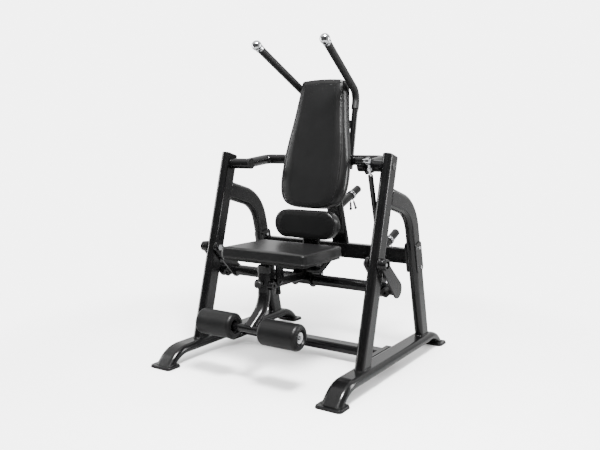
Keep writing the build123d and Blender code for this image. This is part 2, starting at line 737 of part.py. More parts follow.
MOUNT_PLATE_THICK = 13.0
MOUNT_PLATE_UP = 216.0   # height of the yoke above the pad's foot, along the pad
CROSS_STRAP_UP = 500.0
with BuildPart() as mount_plate:
    with BuildSketch(pad_plane(PAD_BACK + MOUNT_PLATE_THICK)):
        with Locations((0, MOUNT_PLATE_UP + 70)):
            RectangleRounded(180, 150, 14)
    extrude(amount=MOUNT_PLATE_THICK)
    add(yoke_envelope, mode=Mode.SUBTRACT)
STRAP_THICK = 40.0
STRAP_HALF = 178.0
with BuildPart() as pad_strap:
    with BuildSketch(pad_plane(PAD_BACK + STRAP_THICK)):
        with Locations((0, CROSS_STRAP_UP)):
            Rectangle(2 * STRAP_HALF, 44)
    extrude(amount=STRAP_THICK)
    add(handle_envelope, mode=Mode.SUBTRACT)
    add(mirror(handle_envelope, about=Plane.YZ), mode=Mode.SUBTRACT)
strap_solid = pad_strap.solids().sort_by(SortBy.VOLUME)[-1]
plate_solid = mount_plate.solids().sort_by(SortBy.VOLUME)[-1]

# ---------------------------------------------------------------- push rod bracket on the yoke
BRACKET_X = YOKE_ARM_X + YOKE_R + 2
BRACKET_THICK = 10.0
LUG_R = 20.0
BOSS_LONG = 30.0
with BuildPart() as link_bracket:
    with BuildSketch(across(BRACKET_X)):
        with Locations(LINK_TOP):
            Circle(LUG_R)
        with Locations(TOP_PIVOT):
            Circle(SLEEVE_R + 5)
        with Locations((LINK_TOP[0] + 42, TOP_PIVOT[1] - 38)):
            Circle(6)
        make_hull()
        with Locations(TOP_PIVOT):
            Circle(SLEEVE_R, mode=Mode.SUBTRACT)
    extrude(amount=BRACKET_THICK)
    with BuildSketch(across(BRACKET_X - BOSS_LONG)):
        with Locations(LINK_TOP):
            Circle(LUG_R)
    extrude(amount=BOSS_LONG)
    with BuildSketch(across(BRACKET_X - BOSS_LONG)):
        with Locations(LINK_TOP):
            Circle(LINK_BOLT_R)
    extrude(amount=BOSS_LONG + BRACKET_THICK, mode=Mode.SUBTRACT)
save("swing_brackets", Compound(children=[plate_solid, strap_solid, *link_bracket.part.solids()]))

EYE_HALF = EYE_THICK / 2


def link_bolt(point, x_from, x_to):
    """Polished cross bolt with a shoulder up to the rod eye and a hexagon head beyond it."""
    with BuildPart() as bolt:
        with BuildSketch(across(x_from)):
            with Locations(point):
                Circle(LINK_BOLT_R)
        extrude(amount=x_to - x_from)
        with BuildSketch(across(LINK_X + EYE_HALF + REST_GAP)):
            with Locations(point):
                RegularPolygon(13, 6)
        extrude(amount=8)
    return bolt.part


with BuildPart() as upper_bolt:
    add(link_bolt(LINK_TOP, BRACKET_X - BOSS_LONG, LINK_X + EYE_HALF))
    with BuildSketch(across(BRACKET_X + BRACKET_THICK)):
        with Locations(LINK_TOP):
            Circle(13)
    extrude(amount=LINK_X - EYE_HALF - REST_GAP - BRACKET_X - BRACKET_THICK)
save("upper_link_bolt", upper_bolt.part)

# ---------------------------------------------------------------- push rod
ROD_RUN = hypot(LINK_LOW[0] - LINK_TOP[0], LINK_LOW[1] - LINK_TOP[1])
rod_down = Vector(0, LINK_LOW[0] - LINK_TOP[0], LINK_LOW[1] - LINK_TOP[1]).normalized()
STUB = 76.0              # from an eye's centre to the end of the black tube
THREAD_R = 7.0
NECK_R = 8.0


def down_rod(distance):
    """Plane across the push rod at this distance below its upper eye."""
    origin = Vector(LINK_X, *LINK_TOP) + rod_down * distance
    return Plane(origin=origin, x_dir=(1, 0, 0), z_dir=rod_down)


with BuildPart() as push_rod:
    with BuildSketch(down_rod(STUB)):
        Circle(ROD_R)
    extrude(amount=ROD_RUN - 2 * STUB)
    chamfer(push_rod.edges().filter_by(GeomType.CIRCLE), 2)
save("push_rod", push_rod.part)


def rod_end(point, plane, sign, play):
    """Ball-joint rod end: ring on the cross bolt, tapered neck, lock nut and threaded stub."""
    with BuildPart() as eye:
        with BuildSketch(across(LINK_X - EYE_HALF)):
            with Locations(point):
                Circle(EYE_R)
        extrude(amount=EYE_THICK)
        with BuildSketch(plane.offset(sign * 16)):
            Circle(NECK_R)
        extrude(amount=sign * 24)
        with BuildSketch(plane.offset(sign * 40)):
            RegularPolygon(13, 6)
        extrude(amount=sign * 12)
        with BuildSketch(plane.offset(sign * 52)):
            Circle(THREAD_R)
        extrude(amount=sign * (STUB - 52))
        with BuildSketch(across(LINK_X - EYE_THICK)):
            with Locations(point):
                Circle(LINK_BOLT_R + play)
        extrude(amount=2 * EYE_THICK, mode=Mode.SUBTRACT)
    return eye.part


upper_end = rod_end(LINK_TOP, down_rod(0), 1, RUN_GAP)
lower_end = rod_end(LINK_LOW, down_rod(ROD_RUN), -1, LOW_EYE_PLAY)
save("rod_ends", Compound(children=[*upper_end.solids(), *lower_end.solids()]))


# ---------------------------------------------------------------- seat cradle structure
cross_envelope = disc(CROSS_TUBE, -ARM_OUT_X, ARM_OUT_X, CROSS_TUBE_R)
cross_tube = disc(CROSS_TUBE, -ARM_OUT_X, ARM_OUT_X, CROSS_TUBE_R, CROSS_TUBE_R - WALL)
save("cross_tube", cross_tube)


def arm_plate(x_from, thick, end, radius, cut_tube):
    """Long plate, narrow at the seat pivot and broad at the cross tube."""
    with BuildPart() as arm:
        with BuildSketch(across(x_from)):
            with Locations(SEAT_PIVOT):
                Circle(ARM_TOP_R)
            with Locations(end):
                Circle(radius)
            make_hull()
            with Locations(SEAT_PIVOT):
                Circle(SEAT_SHAFT_R + RUN_GAP, mode=Mode.SUBTRACT)
            if cut_tube:
                with Locations(CROSS_TUBE):
                    Circle(CROSS_TUBE_R, mode=Mode.SUBTRACT)
        extrude(amount=thick)
    return arm.part


with BuildPart() as cradle_plate:
    add(arm_plate(ARM_OUT_X, PLATE, ARM_END, ARM_R, cut_tube=False))
    fillet(cradle_plate.faces().sort_by(Axis.X)[-1].outer_wire().edges(), 3)
save("cradle_plates", both(cradle_plate.part))

inner_arm = arm_plate(INNER_ARM_X, INNER_ARM_THICK, CROSS_TUBE, CROSS_TUBE_R + 10, cut_tube=True)
save("inner_arms", both(inner_arm))

hub_sleeve = disc(SEAT_PIVOT, HUB_IN, ARM_OUT_X, HUB_R, SEAT_SHAFT_R + RUN_GAP)
hub_ring = disc(SEAT_PIVOT, ARM_OUT_X + PLATE, ARM_OUT_X + PLATE + 16, 30, 20)
hub_pair = [*both(hub_sleeve).solids(), *both(hub_ring).solids()]
save("cradle_hubs", Compound(children=hub_pair))

STOP_R = 25.0
STOP_FACE = (-78.0, 455.0)
stop_axis = Vector(0, STOP_FACE[0] - CROSS_TUBE[0], STOP_FACE[1] - CROSS_TUBE[1]).normalized()
with BuildPart() as travel_stop:
    with BuildSketch(Plane(origin=(FRAME_X, *CROSS_TUBE), x_dir=(1, 0, 0), z_dir=stop_axis)):
        Circle(STOP_R)
    extrude(amount=hypot(STOP_FACE[0] - CROSS_TUBE[0], STOP_FACE[1] - CROSS_TUBE[1]))
    fillet(travel_stop.edges().filter_by(GeomType.CIRCLE).sort_by(Axis.Y)[0], 4)
    with BuildSketch(Plane(origin=(FRAME_X, *STOP_FACE), x_dir=(1, 0, 0), z_dir=stop_axis)):
        Circle(9)
    extrude(amount=-12, mode=Mode.SUBTRACT)
    add(cross_envelope, mode=Mode.SUBTRACT)
save("travel_stops", both(travel_stop.solids().sort_by(Axis.Y)[0]))

SLIDE_GAP = 0.2
BEAM_BORE_WIDE = SLIDE_WIDE + 2 * SLIDE_GAP
BEAM_BORE_HIGH = SLIDE_HIGH + 2 * SLIDE_GAP
with BuildPart() as centre_beam:
    front = Plane(origin=(0, CENTRE_BEAM_FRONT, CENTRE_BEAM_Z), x_dir=(1, 0, 0), z_dir=(0, 1, 0))
    with BuildSketch(front):
        RectangleRounded(CENTRE_BEAM_WIDE, CENTRE_BEAM_HIGH, 6)
        Rectangle(BEAM_BORE_WIDE, BEAM_BORE_HIGH, mode=Mode.SUBTRACT)
    extrude(amount=CROSS_TUBE[0] - CENTRE_BEAM_FRONT)
    with BuildSketch(Plane(origin=(0, KNOB_Y, CENTRE_BEAM_Z - CENTRE_BEAM_HIGH), z_dir=(0, 0, 1))):
        Circle(8)
    extrude(amount=CENTRE_BEAM_HIGH, mode=Mode.SUBTRACT)
    add(cross_envelope, mode=Mode.SUBTRACT)
save("centre_beam", centre_beam.solids().sort_by(SortBy.VOLUME)[-1])

# U-shaped seat support standing on the cross tube
SUPPORT_TOP_Z = SEAT_LOW - SEAT_BOARD_THICK - 8
BOARD_LOW = SEAT_LOW - SEAT_BOARD_THICK
beam_block_top = CENTRE_BEAM_Z + CENTRE_BEAM_HIGH / 2
with BuildLine(Plane(origin=(0, SUPPORT_Y, 0), x_dir=(1, 0, 0), z_dir=(0, -1, 0))) as support_line:
    FilletPolyline(
        (-204, SUPPORT_TOP_Z),
        (-150, beam_block_top + SUPPORT_R),
        (150, beam_block_top + SUPPORT_R),
        (204, SUPPORT_TOP_Z),
        radius=58,
    )
with BuildPart() as seat_support:
    add(round_sweep(support_line.wire(), SUPPORT_R, SUPPORT_R - WALL))
    split(bisect_by=Plane.XY.offset(SUPPORT_TOP_Z), keep=Keep.BOTTOM)
save("seat_support_tube", seat_support.part)

with BuildPart() as seat_pad:
    with BuildSketch(Plane.XY.offset(SEAT_LOW)):
        with Locations((0, (SEAT_FRONT + SEAT_BACK) / 2)):
            RectangleRounded(2 * SEAT_HALF_X, SEAT_BACK - SEAT_FRONT, 26)
    extrude(amount=SEAT_HIGH - SEAT_LOW)
    fillet(seat_pad.edges().group_by(Axis.Z)[-1], 5)
save("seat_pad", seat_pad.part)

with BuildPart() as seat_board:
    with BuildSketch(Plane.XY.offset(BOARD_LOW)):
        with Locations((0, (SEAT_FRONT + SEAT_BACK) / 2)):
            RectangleRounded(2 * SEAT_HALF_X - 16, SEAT_BACK - SEAT_FRONT - 16, 18)
    extrude(amount=SEAT_BOARD_THICK)
save("seat_board", seat_board.part)

# ---------------------------------------------------------------- lumbar pad and post
with BuildPart() as lumbar_post:
    with BuildSketch(Plane(origin=(0, POST_Y, POST_LOW_Z))):
        SlotOverall(TUBE_DEEP, TUBE_THIN)
        SlotOverall(TUBE_DEEP - 2 * WALL, TUBE_THIN - 2 * WALL, mode=Mode.SUBTRACT)
    extrude(amount=POST_HIGH_Z - POST_LOW_Z)
save("lumbar_post", lumbar_post.part)


def lumbar_slab(front_y, back_y, shrink):
    """Upright stadium slab between two Y planes."""
    face = Plane(origin=(0, back_y, LUMBAR_Z), x_dir=(1, 0, 0), z_dir=(0, -1, 0))
    with BuildPart() as slab:
        with BuildSketch(face):
            SlotOverall(LUMBAR_WIDE - 2 * shrink, LUMBAR_HIGH - 2 * shrink)
        extrude(amount=back_y - front_y)
    return slab.part


LUMBAR_BACK = LUMBAR_FACE_Y + LUMBAR_THICK
with BuildPart() as lumbar_pad:
    add(lumbar_slab(LUMBAR_FACE_Y, LUMBAR_BACK, 0))
    fillet(lumbar_pad.faces().sort_by(Axis.Y)[0].edges(), 12)
save("lumbar_pad", lumbar_pad.part)
lumbar_board = lumbar_slab(LUMBAR_BACK, LUMBAR_BACK + LUMBAR_BOARD, 6)
save("lumbar_board", lumbar_board)

# ---------------------------------------------------------------- cradle brackets
CLAMP_X = TUBE_DEEP / 2
with BuildPart() as post_clamp:
    with BuildSketch(across(CLAMP_X)):
        with Locations(CROSS_TUBE):
            Circle(CROSS_TUBE_R + 12)
        with Locations((POST_Y - 12, POST_LOW_Z + 120), (POST_Y + 12, POST_LOW_Z + 120)):
            Circle(14)
        with Locations((POST_Y + 12, POST_LOW_Z + 12)):
            Circle(14)
        make_hull()
        with Locations(CROSS_TUBE):
            Circle(CROSS_TUBE_R, mode=Mode.SUBTRACT)
    extrude(amount=PLATE)

SEAT_STRAP_Y = (-340.0, SUPPORT_Y)
STRAP_WIDE = 60.0
seat_straps = []
for strap_y in SEAT_STRAP_Y:
    with BuildPart() as strap:
        with BuildSketch(Plane.XY.offset(SUPPORT_TOP_Z)):
            with Locations((0, strap_y)):
                RectangleRounded(440, STRAP_WIDE, 10)
        extrude(amount=BOARD_LOW - SUPPORT_TOP_Z)
    seat_straps.append(strap.part)

RISER_X = CENTRE_BEAM_WIDE / 2
with BuildPart() as seat_riser:
    with BuildSketch(across(RISER_X)):
        with Locations((SEAT_STRAP_Y[0], CENTRE_BEAM_Z), (SEAT_STRAP_Y[0] + 34, CENTRE_BEAM_Z)):
            Circle(18)
        with Locations((SEAT_STRAP_Y[0], SUPPORT_TOP_Z - 10)):
            Rectangle(54, 20)
        make_hull()
    extrude(amount=8)

with BuildPart() as link_lug:
    with BuildSketch(across(LINK_X - EYE_HALF - REST_GAP - 24)):
        with Locations(LINK_LOW):
            Circle(LUG_R)
        with Locations(CROSS_TUBE):
            Circle(CROSS_TUBE_R + 12)
        make_hull()
        with Locations(CROSS_TUBE):
            Circle(CROSS_TUBE_R, mode=Mode.SUBTRACT)
        with Locations(LINK_LOW):
            Circle(LINK_BOLT_R, mode=Mode.SUBTRACT)
    extrude(amount=12)
lower_start = LINK_X - EYE_HALF - REST_GAP - 24
with BuildPart() as lower_bolt:
    add(link_bolt(LINK_LOW, lower_start, LINK_X + EYE_HALF))
    with BuildSketch(across(lower_start + 12)):
        with Locations(LINK_LOW):
            Circle(13)
    extrude(amount=12)
save("lower_link_bolt", lower_bolt.part)



def bolt_head(plane, radius, thick):
    """Hexagon head that stands on a plane."""
    with BuildPart() as head:
        with BuildSketch(plane):
            RegularPolygon(radius, 6)
        extrude(amount=thick)
    return head.part


cradle_heads = [
    bolt_head(out_of_x(CLAMP_X + PLATE, POST_Y, POST_LOW_Z + 36), 10, 7),
    bolt_head(out_of_x(CLAMP_X + PLATE, POST_Y, POST_LOW_Z + 106), 10, 7),
    bolt_head(out_of_x(RISER_X + 8, SEAT_STRAP_Y[0] + 17, CENTRE_BEAM_Z), 9, 6),
]
for head_x in (60, 130):
    for strap_y in SEAT_STRAP_Y:
        below = Plane(origin=(head_x, strap_y + 18, SUPPORT_TOP_Z), x_dir=(1, 0, 0), z_dir=(0, 0, -1))
        cradle_heads.append(bolt_head(below, 8, 5))
save("cradle_bolts", Compound(children=[s for h in cradle_heads for s in both(h).solids()]))

# ---------------------------------------------------------------- leg carriage
SLOT_WIDE = 13.0
SLIDE_TRAVEL = 80.0
with BuildPart() as slide_tube:
    back = Plane(origin=(0, SLIDE_BACK, CENTRE_BEAM_Z), x_dir=(1, 0, 0), z_dir=(0, -1, 0))
    with BuildSketch(back):
        RectangleRounded(SLIDE_WIDE, SLIDE_HIGH, 3)
        Rectangle(SLIDE_WIDE - 2 * WALL, SLIDE_HIGH - 2 * WALL, mode=Mode.SUBTRACT)
    extrude(amount=SLIDE_BACK - KNUCKLE[0])
    with BuildSketch(Plane(origin=(0, 0, CENTRE_BEAM_Z - SLIDE_HIGH), z_dir=(0, 0, 1))):
        with Locations((0, KNOB_Y + SLIDE_TRAVEL / 2)):
            SlotOverall(SLIDE_TRAVEL + SLOT_WIDE, SLOT_WIDE, rotation=90)
    extrude(amount=SLIDE_HIGH, mode=Mode.SUBTRACT)
    add(disc(KNUCKLE, -60, 60, KNUCKLE_R), mode=Mode.SUBTRACT)
save("slide_tube", slide_tube.solids().sort_by(SortBy.VOLUME)[-1])


def leg_arm_path():
    """Straight down behind the calves, then curving forward to the roller axle."""
    with BuildLine(across(0)) as path:
        FilletPolyline((LEG_ARM_Y, LEG_ARM_TOP), (LEG_ARM_Y, LEG_BEND_Z), ROLLER_AXIS, radius=LEG_BEND_R)
    return path.wire()


knuckle_envelope = disc(KNUCKLE, -60, 60, KNUCKLE_R)
with BuildPart() as leg_arm:
    add(flat_oval_sweep(leg_arm_path(), LEG_ARM_WIDE, LEG_ARM_DEEP))
    add(knuckle_envelope, mode=Mode.SUBTRACT)
    add(disc(ROLLER_AXIS, -60, 60, AXLE_R), mode=Mode.SUBTRACT)
leg_tube_solid = leg_arm.solids().sort_by(SortBy.VOLUME)[-1]

with BuildPart() as leg_knuckle:
    add(disc(KNUCKLE, -60, 60, KNUCKLE_R, 8))
    fillet(leg_knuckle.edges().filter_by(GeomType.CIRCLE).group_by(Axis.X)[0].sort_by(Edge.length)[-1], 5)
    fillet(leg_knuckle.edges().filter_by(GeomType.CIRCLE).group_by(Axis.X)[-1].sort_by(Edge.length)[-1], 5)
with BuildPart() as arm_cap:
    with BuildSketch(Plane.XY.offset(LEG_ARM_TOP)):
        with Locations((0, LEG_ARM_Y)):
            SlotOverall(LEG_ARM_WIDE + 6, LEG_ARM_DEEP + 6)
    extrude(amount=LEG_CAP_HIGH)
    fillet(arm_cap.edges().group_by(Axis.Z)[-1], 14)
knob_face = Plane(origin=(0, LEG_ARM_Y - LEG_ARM_DEEP / 2, LOCK_KNOB_Z), x_dir=(1, 0, 0), z_dir=(0, -1, 0))
with BuildPart() as lock_knob:
    with BuildSketch(knob_face.offset(10)):
        Circle(LOCK_KNOB_R)
    extrude(amount=26)
    fillet(lock_knob.edges().filter_by(GeomType.CIRCLE), 8)
    with BuildSketch(knob_face):
        Circle(9)
    extrude(amount=14)
save("leg_arm", Compound(children=[*leg_tube_solid.solids(), *leg_knuckle.part.solids()]))
save("leg_arm_cap", Compound(children=[*arm_cap.part.solids(), *lock_knob.part.solids()]))

RECESS_DEEP = 14.0
AXLE_END_X = ROLLER_OUT - RECESS_DEEP + 3
save("roller_axle", disc(ROLLER_AXIS, -AXLE_END_X, AXLE_END_X, AXLE_R, AXLE_R - WALL))


def roller():
    """Foam roller on the right: barrel with stepped, rounded ends and a recessed core disc."""
    middle = (ROLLER_IN + ROLLER_OUT) / 2
    with BuildPart() as foam:
        add(disc(ROLLER_AXIS, ROLLER_IN, ROLLER_OUT, ROLLER_R))
        fillet(foam.edges().filter_by(GeomType.CIRCLE), 20)
        for x_from in (ROLLER_IN - RECESS_DEEP, ROLLER_OUT - RECESS_DEEP):
            add(disc(ROLLER_AXIS, x_from, x_from + 2 * RECESS_DEEP, 40), mode=Mode.SUBTRACT)
        add(disc(ROLLER_AXIS, middle - ROLLER_OUT, middle + ROLLER_OUT, AXLE_R + RUN_GAP), mode=Mode.SUBTRACT)
    return foam.part


save_pair("roller", roller())

with BuildPart() as axle_end:
    add(disc(ROLLER_AXIS, AXLE_END_X, AXLE_END_X + 3, AXLE_R + 8))
    with BuildSketch(across(AXLE_END_X + 3)):
        with Locations(ROLLER_AXIS):
            RegularPolygon(11, 6)
    extrude(amount=7)
save("axle_end_bolts", both(axle_end.part))

# ---------------------------------------------------------------- clamp knob under the centre beam
KNOB_TOP = CENTRE_BEAM_Z - CENTRE_BEAM_HIGH / 2
PIN_R = 6.0
BARREL_LONG = 24.0
PULL_TRAVEL = 10.0
down = Plane(origin=(0, KNOB_Y, KNOB_TOP), x_dir=(1, 0, 0), z_dir=(0, 0, -1))
with BuildPart() as knob_barrel:
    with BuildSketch(down):
        Circle(14)
        Circle(PIN_R + RUN_GAP, mode=Mode.SUBTRACT)
    extrude(amount=BARREL_LONG)

brackets = [*both(post_clamp.part).solids(), *both(seat_riser.part).solids(), *link_lug.part.solids(), *knob_barrel.part.solids()]
brackets += [s for strap_part in seat_straps for s in strap_part.solids()]
save("cradle_brackets", Compound(children=brackets))

with BuildPart() as pull_knob:
    with BuildSketch(down.offset(BARREL_LONG + REST_GAP)):
        Circle(17)
    extrude(amount=26)
    fillet(pull_knob.edges().filter_by(GeomType.CIRCLE), 7)
    with BuildSketch(down.offset(-8.0)):
        Circle(PIN_R)
    extrude(amount=BARREL_LONG + 20)
save("pull_knob", pull_knob.part)

# ---------------------------------------------------------------- spring collars
WIRE_R = 2.6
COLLAR_PITCH = 4.8
COLLAR_TURNS = 5
COLLAR_GRIP_R = 7.0
COLLAR_MID_R = HORN_R + RUN_GAP + WIRE_R


def spring_collar(root_plane, distance):
    """Wire collar on a horn with two pinch legs that hang below it, each with a grip."""
    with BuildPart() as coil:
        for turn in range(COLLAR_TURNS):
            with Locations(root_plane.offset(distance + turn * COLLAR_PITCH)):
                Torus(COLLAR_MID_R, WIRE_R)
    legs = []
    for turn, swing in ((0, -8), (COLLAR_TURNS - 1, 8)):
        at = root_plane.offset(distance + turn * COLLAR_PITCH)
        angle = radians(swing)
        downward = at.y_dir if at.y_dir.Z < 0 else at.y_dir * -1
        outward = at.x_dir * sin(angle) + downward * cos(angle)
        inner_end = at.origin + outward * COLLAR_MID_R
        with BuildPart() as leg:
            with BuildSketch(Plane(origin=inner_end, z_dir=outward)):
                Circle(WIRE_R)
            extrude(amount=30)
            with BuildSketch(Plane(origin=inner_end + outward * 22, z_dir=outward)):
                Circle(COLLAR_GRIP_R)
            extrude(amount=46)
        legs.append(leg.part)
    with BuildPart() as collar:
        add(coil.part)
        for leg_part in legs:
            add(leg_part)
    return collar.part


save("load_collar", spring_collar(load_plane, 210))
storage_collar = spring_collar(store_plane, 130)
save_pair("storage_collar", storage_collar)
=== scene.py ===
"""Looks of the abdominal crunch machine: materials, upholstery, welds, trim, floor, light and camera."""
import json
from math import cos, pi, radians, sin, sqrt

import bmesh
import bpy
import numpy as np
from mathutils import Matrix, Vector
from mathutils.bvhtree import BVHTree
from mathutils.kdtree import KDTree


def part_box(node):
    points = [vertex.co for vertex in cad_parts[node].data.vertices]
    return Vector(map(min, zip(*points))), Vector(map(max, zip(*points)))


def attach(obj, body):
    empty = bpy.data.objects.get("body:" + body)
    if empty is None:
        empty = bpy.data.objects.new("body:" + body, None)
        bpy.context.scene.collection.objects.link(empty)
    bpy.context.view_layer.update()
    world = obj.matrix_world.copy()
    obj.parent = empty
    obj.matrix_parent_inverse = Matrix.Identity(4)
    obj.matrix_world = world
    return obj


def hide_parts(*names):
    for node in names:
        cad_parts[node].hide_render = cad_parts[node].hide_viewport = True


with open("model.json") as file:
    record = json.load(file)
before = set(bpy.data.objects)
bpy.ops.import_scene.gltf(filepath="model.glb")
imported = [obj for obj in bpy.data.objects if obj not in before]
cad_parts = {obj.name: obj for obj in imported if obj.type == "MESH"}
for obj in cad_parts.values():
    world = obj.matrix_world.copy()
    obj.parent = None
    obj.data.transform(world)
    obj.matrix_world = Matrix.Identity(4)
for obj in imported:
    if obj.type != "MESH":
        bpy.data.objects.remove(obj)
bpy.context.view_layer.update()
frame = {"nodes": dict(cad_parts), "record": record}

nodes = frame["nodes"]
MM = 0.001


# ---------------------------------------------------------------- node material helpers
def new_material(name):
    """Empty node material with a Principled shader; returns it with its tree and shader."""
    material = bpy.data.materials.new(name)
    material.use_nodes = True
    tree = material.node_tree
    return material, tree, tree.nodes["Principled BSDF"]


def noise(tree, scale, detail=4.0, roughness=0.55, stretch=(1, 1, 1)):
    """Noise on object coordinates; scale is in features per metre."""
    coords = tree.nodes.new("ShaderNodeTexCoord")
    mapping = tree.nodes.new("ShaderNodeMapping")
    mapping.inputs["Scale"].default_value = stretch
    texture = tree.nodes.new("ShaderNodeTexNoise")
    texture.inputs["Scale"].default_value = scale
    texture.inputs["Detail"].default_value = detail
    texture.inputs["Roughness"].default_value = roughness
    tree.links.new(coords.outputs["Object"], mapping.inputs["Vector"])
    tree.links.new(mapping.outputs["Vector"], texture.inputs["Vector"])
    return texture.outputs["Fac"]


def cells(tree, scale, feature="F1"):
    """Voronoi distance on object coordinates, for grain."""
    coords = tree.nodes.new("ShaderNodeTexCoord")
    texture = tree.nodes.new("ShaderNodeTexVoronoi")
    texture.feature = feature
    texture.inputs["Scale"].default_value = scale
    tree.links.new(coords.outputs["Object"], texture.inputs["Vector"])
    return texture.outputs["Distance"]


def ramp(tree, source, low, high, start=0.3, end=0.7):
    """Colour ramp from low to high between two values of the source."""
    node = tree.nodes.new("ShaderNodeValToRGB")
    node.color_ramp.elements[0].position = start
    node.color_ramp.elements[1].position = end
    node.color_ramp.elements[0].color = (*low, 1)
    node.color_ramp.elements[1].color = (*high, 1)
    tree.links.new(source, node.inputs["Fac"])
    return node.outputs["Color"]


def spread(tree, source, low, high):
    """Map 0..1 to low..high."""
    node = tree.nodes.new("ShaderNodeMapRange")
    node.inputs["To Min"].default_value = low
    node.inputs["To Max"].default_value = high
    tree.links.new(source, node.inputs["Value"])
    return node.outputs["Result"]


def smooth_step(tree, source, start, end):
    """Smooth 0..1 between two values of the source."""
    node = tree.nodes.new("ShaderNodeMapRange")
    node.interpolation_type = "SMOOTHSTEP"
    node.inputs["From Min"].default_value = start
    node.inputs["From Max"].default_value = end
    tree.links.new(source, node.inputs["Value"])
    return node.outputs["Result"]


def combine(tree, operation, first, second):
    """Math node on two sources; the second may be a number."""
    node = tree.nodes.new("ShaderNodeMath")
    node.operation = operation
    tree.links.new(first, node.inputs[0])
    if isinstance(second, float):
        node.inputs[1].default_value = second
    else:
        tree.links.new(second, node.inputs[1])
    return node.outputs["Value"]


def blend(tree, coarse, fine, share):
    """Weighted sum of two sources; share is the coarse one's weight."""
    weighted = combine(tree, "MULTIPLY", coarse, share)
    return combine(tree, "ADD", weighted, combine(tree, "MULTIPLY", fine, 1.0 - share))


def mix_shaders(tree, factor, first, second):
    """Shader that goes from the first to the second as the factor goes from 0 to 1."""
    node = tree.nodes.new("ShaderNodeMixShader")
    tree.links.new(factor, node.inputs["Fac"])
    tree.links.new(first, node.inputs[1])
    tree.links.new(second, node.inputs[2])
    return node.outputs["Shader"]


def bump(tree, shader, layers):
    """Chain bump nodes; each layer is (height source, depth in metres, strength)."""
    normal = None
    for height, depth, strength in layers:
        node = tree.nodes.new("ShaderNodeBump")
        node.inputs["Distance"].default_value = depth
        node.inputs["Strength"].default_value = strength
        tree.links.new(height, node.inputs["Height"])
        if normal:
            tree.links.new(normal, node.inputs["Normal"])
        normal = node.outputs["Normal"]
    tree.links.new(normal, shader.inputs["Normal"])


def colour_and_roughness(tree, shader, colour, roughness):
    """Feed the shader's colour and roughness sockets."""
    tree.links.new(colour, shader.inputs["Base Color"])
    tree.links.new(roughness, shader.inputs["Roughness"])


# ---------------------------------------------------------------- materials
BLUE_TRACE = 0.0001      # how much more blue than red the near-blacks have


def near_black(level):
    """Near-black colour; darker than real paint or vinyl, tuned to the bright backdrop."""
    return level, level, level + BLUE_TRACE


def powder_coat():
    """Black powder coat: orange peel and slow waves, with marks and dust that vary its tone and gloss."""
    material, tree, shader = new_material("powder_coat")
    marks = noise(tree, 7.0, 6.0, 0.62)
    dust = noise(tree, 60.0, 4.0, 0.6)
    colour = ramp(tree, blend(tree, marks, dust, 0.7), near_black(0.0014), near_black(0.0030), 0.35, 0.65)
    rough = combine(tree, "ADD", spread(tree, marks, 0.14, 0.23), spread(tree, dust, 0.0, 0.04))
    colour_and_roughness(tree, shader, colour, rough)
    shader.inputs["Specular IOR Level"].default_value = 0.34
    shader.inputs["Coat Weight"].default_value = 0.10
    shader.inputs["Coat Roughness"].default_value = 0.12
    peel = noise(tree, 420.0, 2.0, 0.5)
    waves = noise(tree, 95.0, 2.0, 0.5)
    bump(tree, shader, [(waves, 0.00006, 0.25), (peel, 0.00003, 0.30)])
    return material


def upholstery(name, dark, light, rough_low, rough_high, gloss):
    """Black upholstery vinyl: pebbled grain, fine creases and slow variation in gloss."""
    material, tree, shader = new_material(name)
    slow = noise(tree, 5.0, 5.0, 0.6)
    fine = noise(tree, 220.0, 3.0, 0.6)
    grain = cells(tree, 620.0)
    creases = cells(tree, 900.0, "DISTANCE_TO_EDGE")
    colour = ramp(tree, blend(tree, slow, fine, 0.6), near_black(dark), near_black(light))
    rough = combine(tree, "ADD", spread(tree, slow, rough_low, rough_high), spread(tree, fine, 0.0, 0.06))
    colour_and_roughness(tree, shader, colour, rough)
    shader.inputs["Specular IOR Level"].default_value = gloss
    bump(tree, shader, [(slow, 0.0005, 0.20), (grain, 0.00010, 0.30), (creases, 0.00006, 0.25)])
    return material


def rubber():
    """Matt moulded rubber with a fine texture and slow variation in tone and gloss."""
    material, tree, shader = new_material("rubber")
    slow = noise(tree, 18.0, 5.0, 0.6)
    fine = noise(tree, 700.0, 2.0, 0.6)
    colour = ramp(tree, slow, near_black(0.0018), near_black(0.0036))
    colour_and_roughness(tree, shader, colour, spread(tree, slow, 0.50, 0.62))
    shader.inputs["Specular IOR Level"].default_value = 0.35
    bump(tree, shader, [(fine, 0.00004, 0.25)])
    return material


def chrome():
    """Polished chrome with faint smears and polishing lines."""
    material, tree, shader = new_material("polished_chrome")
    smear = noise(tree, 40.0, 5.0, 0.6)
    lines = noise(tree, 300.0, 2.0, 0.5, (1, 1, 12))
    colour = ramp(tree, smear, (0.70, 0.71, 0.73), (0.84, 0.85, 0.86))
    shader.inputs["Metallic"].default_value = 1.0
    rough = combine(tree, "ADD", spread(tree, smear, 0.04, 0.10), spread(tree, lines, 0.0, 0.03))
    colour_and_roughness(tree, shader, colour, rough)
    bump(tree, shader, [(lines, 0.00002, 0.25)])
    return material


def zinc_wire():
    """Dark-passivated zinc spring wire with a duller patina."""
    material, tree, shader = new_material("zinc_wire")
    patina = noise(tree, 90.0, 5.0, 0.6)
    colour = ramp(tree, patina, (0.16, 0.16, 0.17), (0.30, 0.30, 0.31))
    shader.inputs["Metallic"].default_value = 1.0
    colour_and_roughness(tree, shader, colour, spread(tree, patina, 0.18, 0.34))
    bump(tree, shader, [(noise(tree, 900.0, 2.0), 0.00003, 0.3)])
    return material


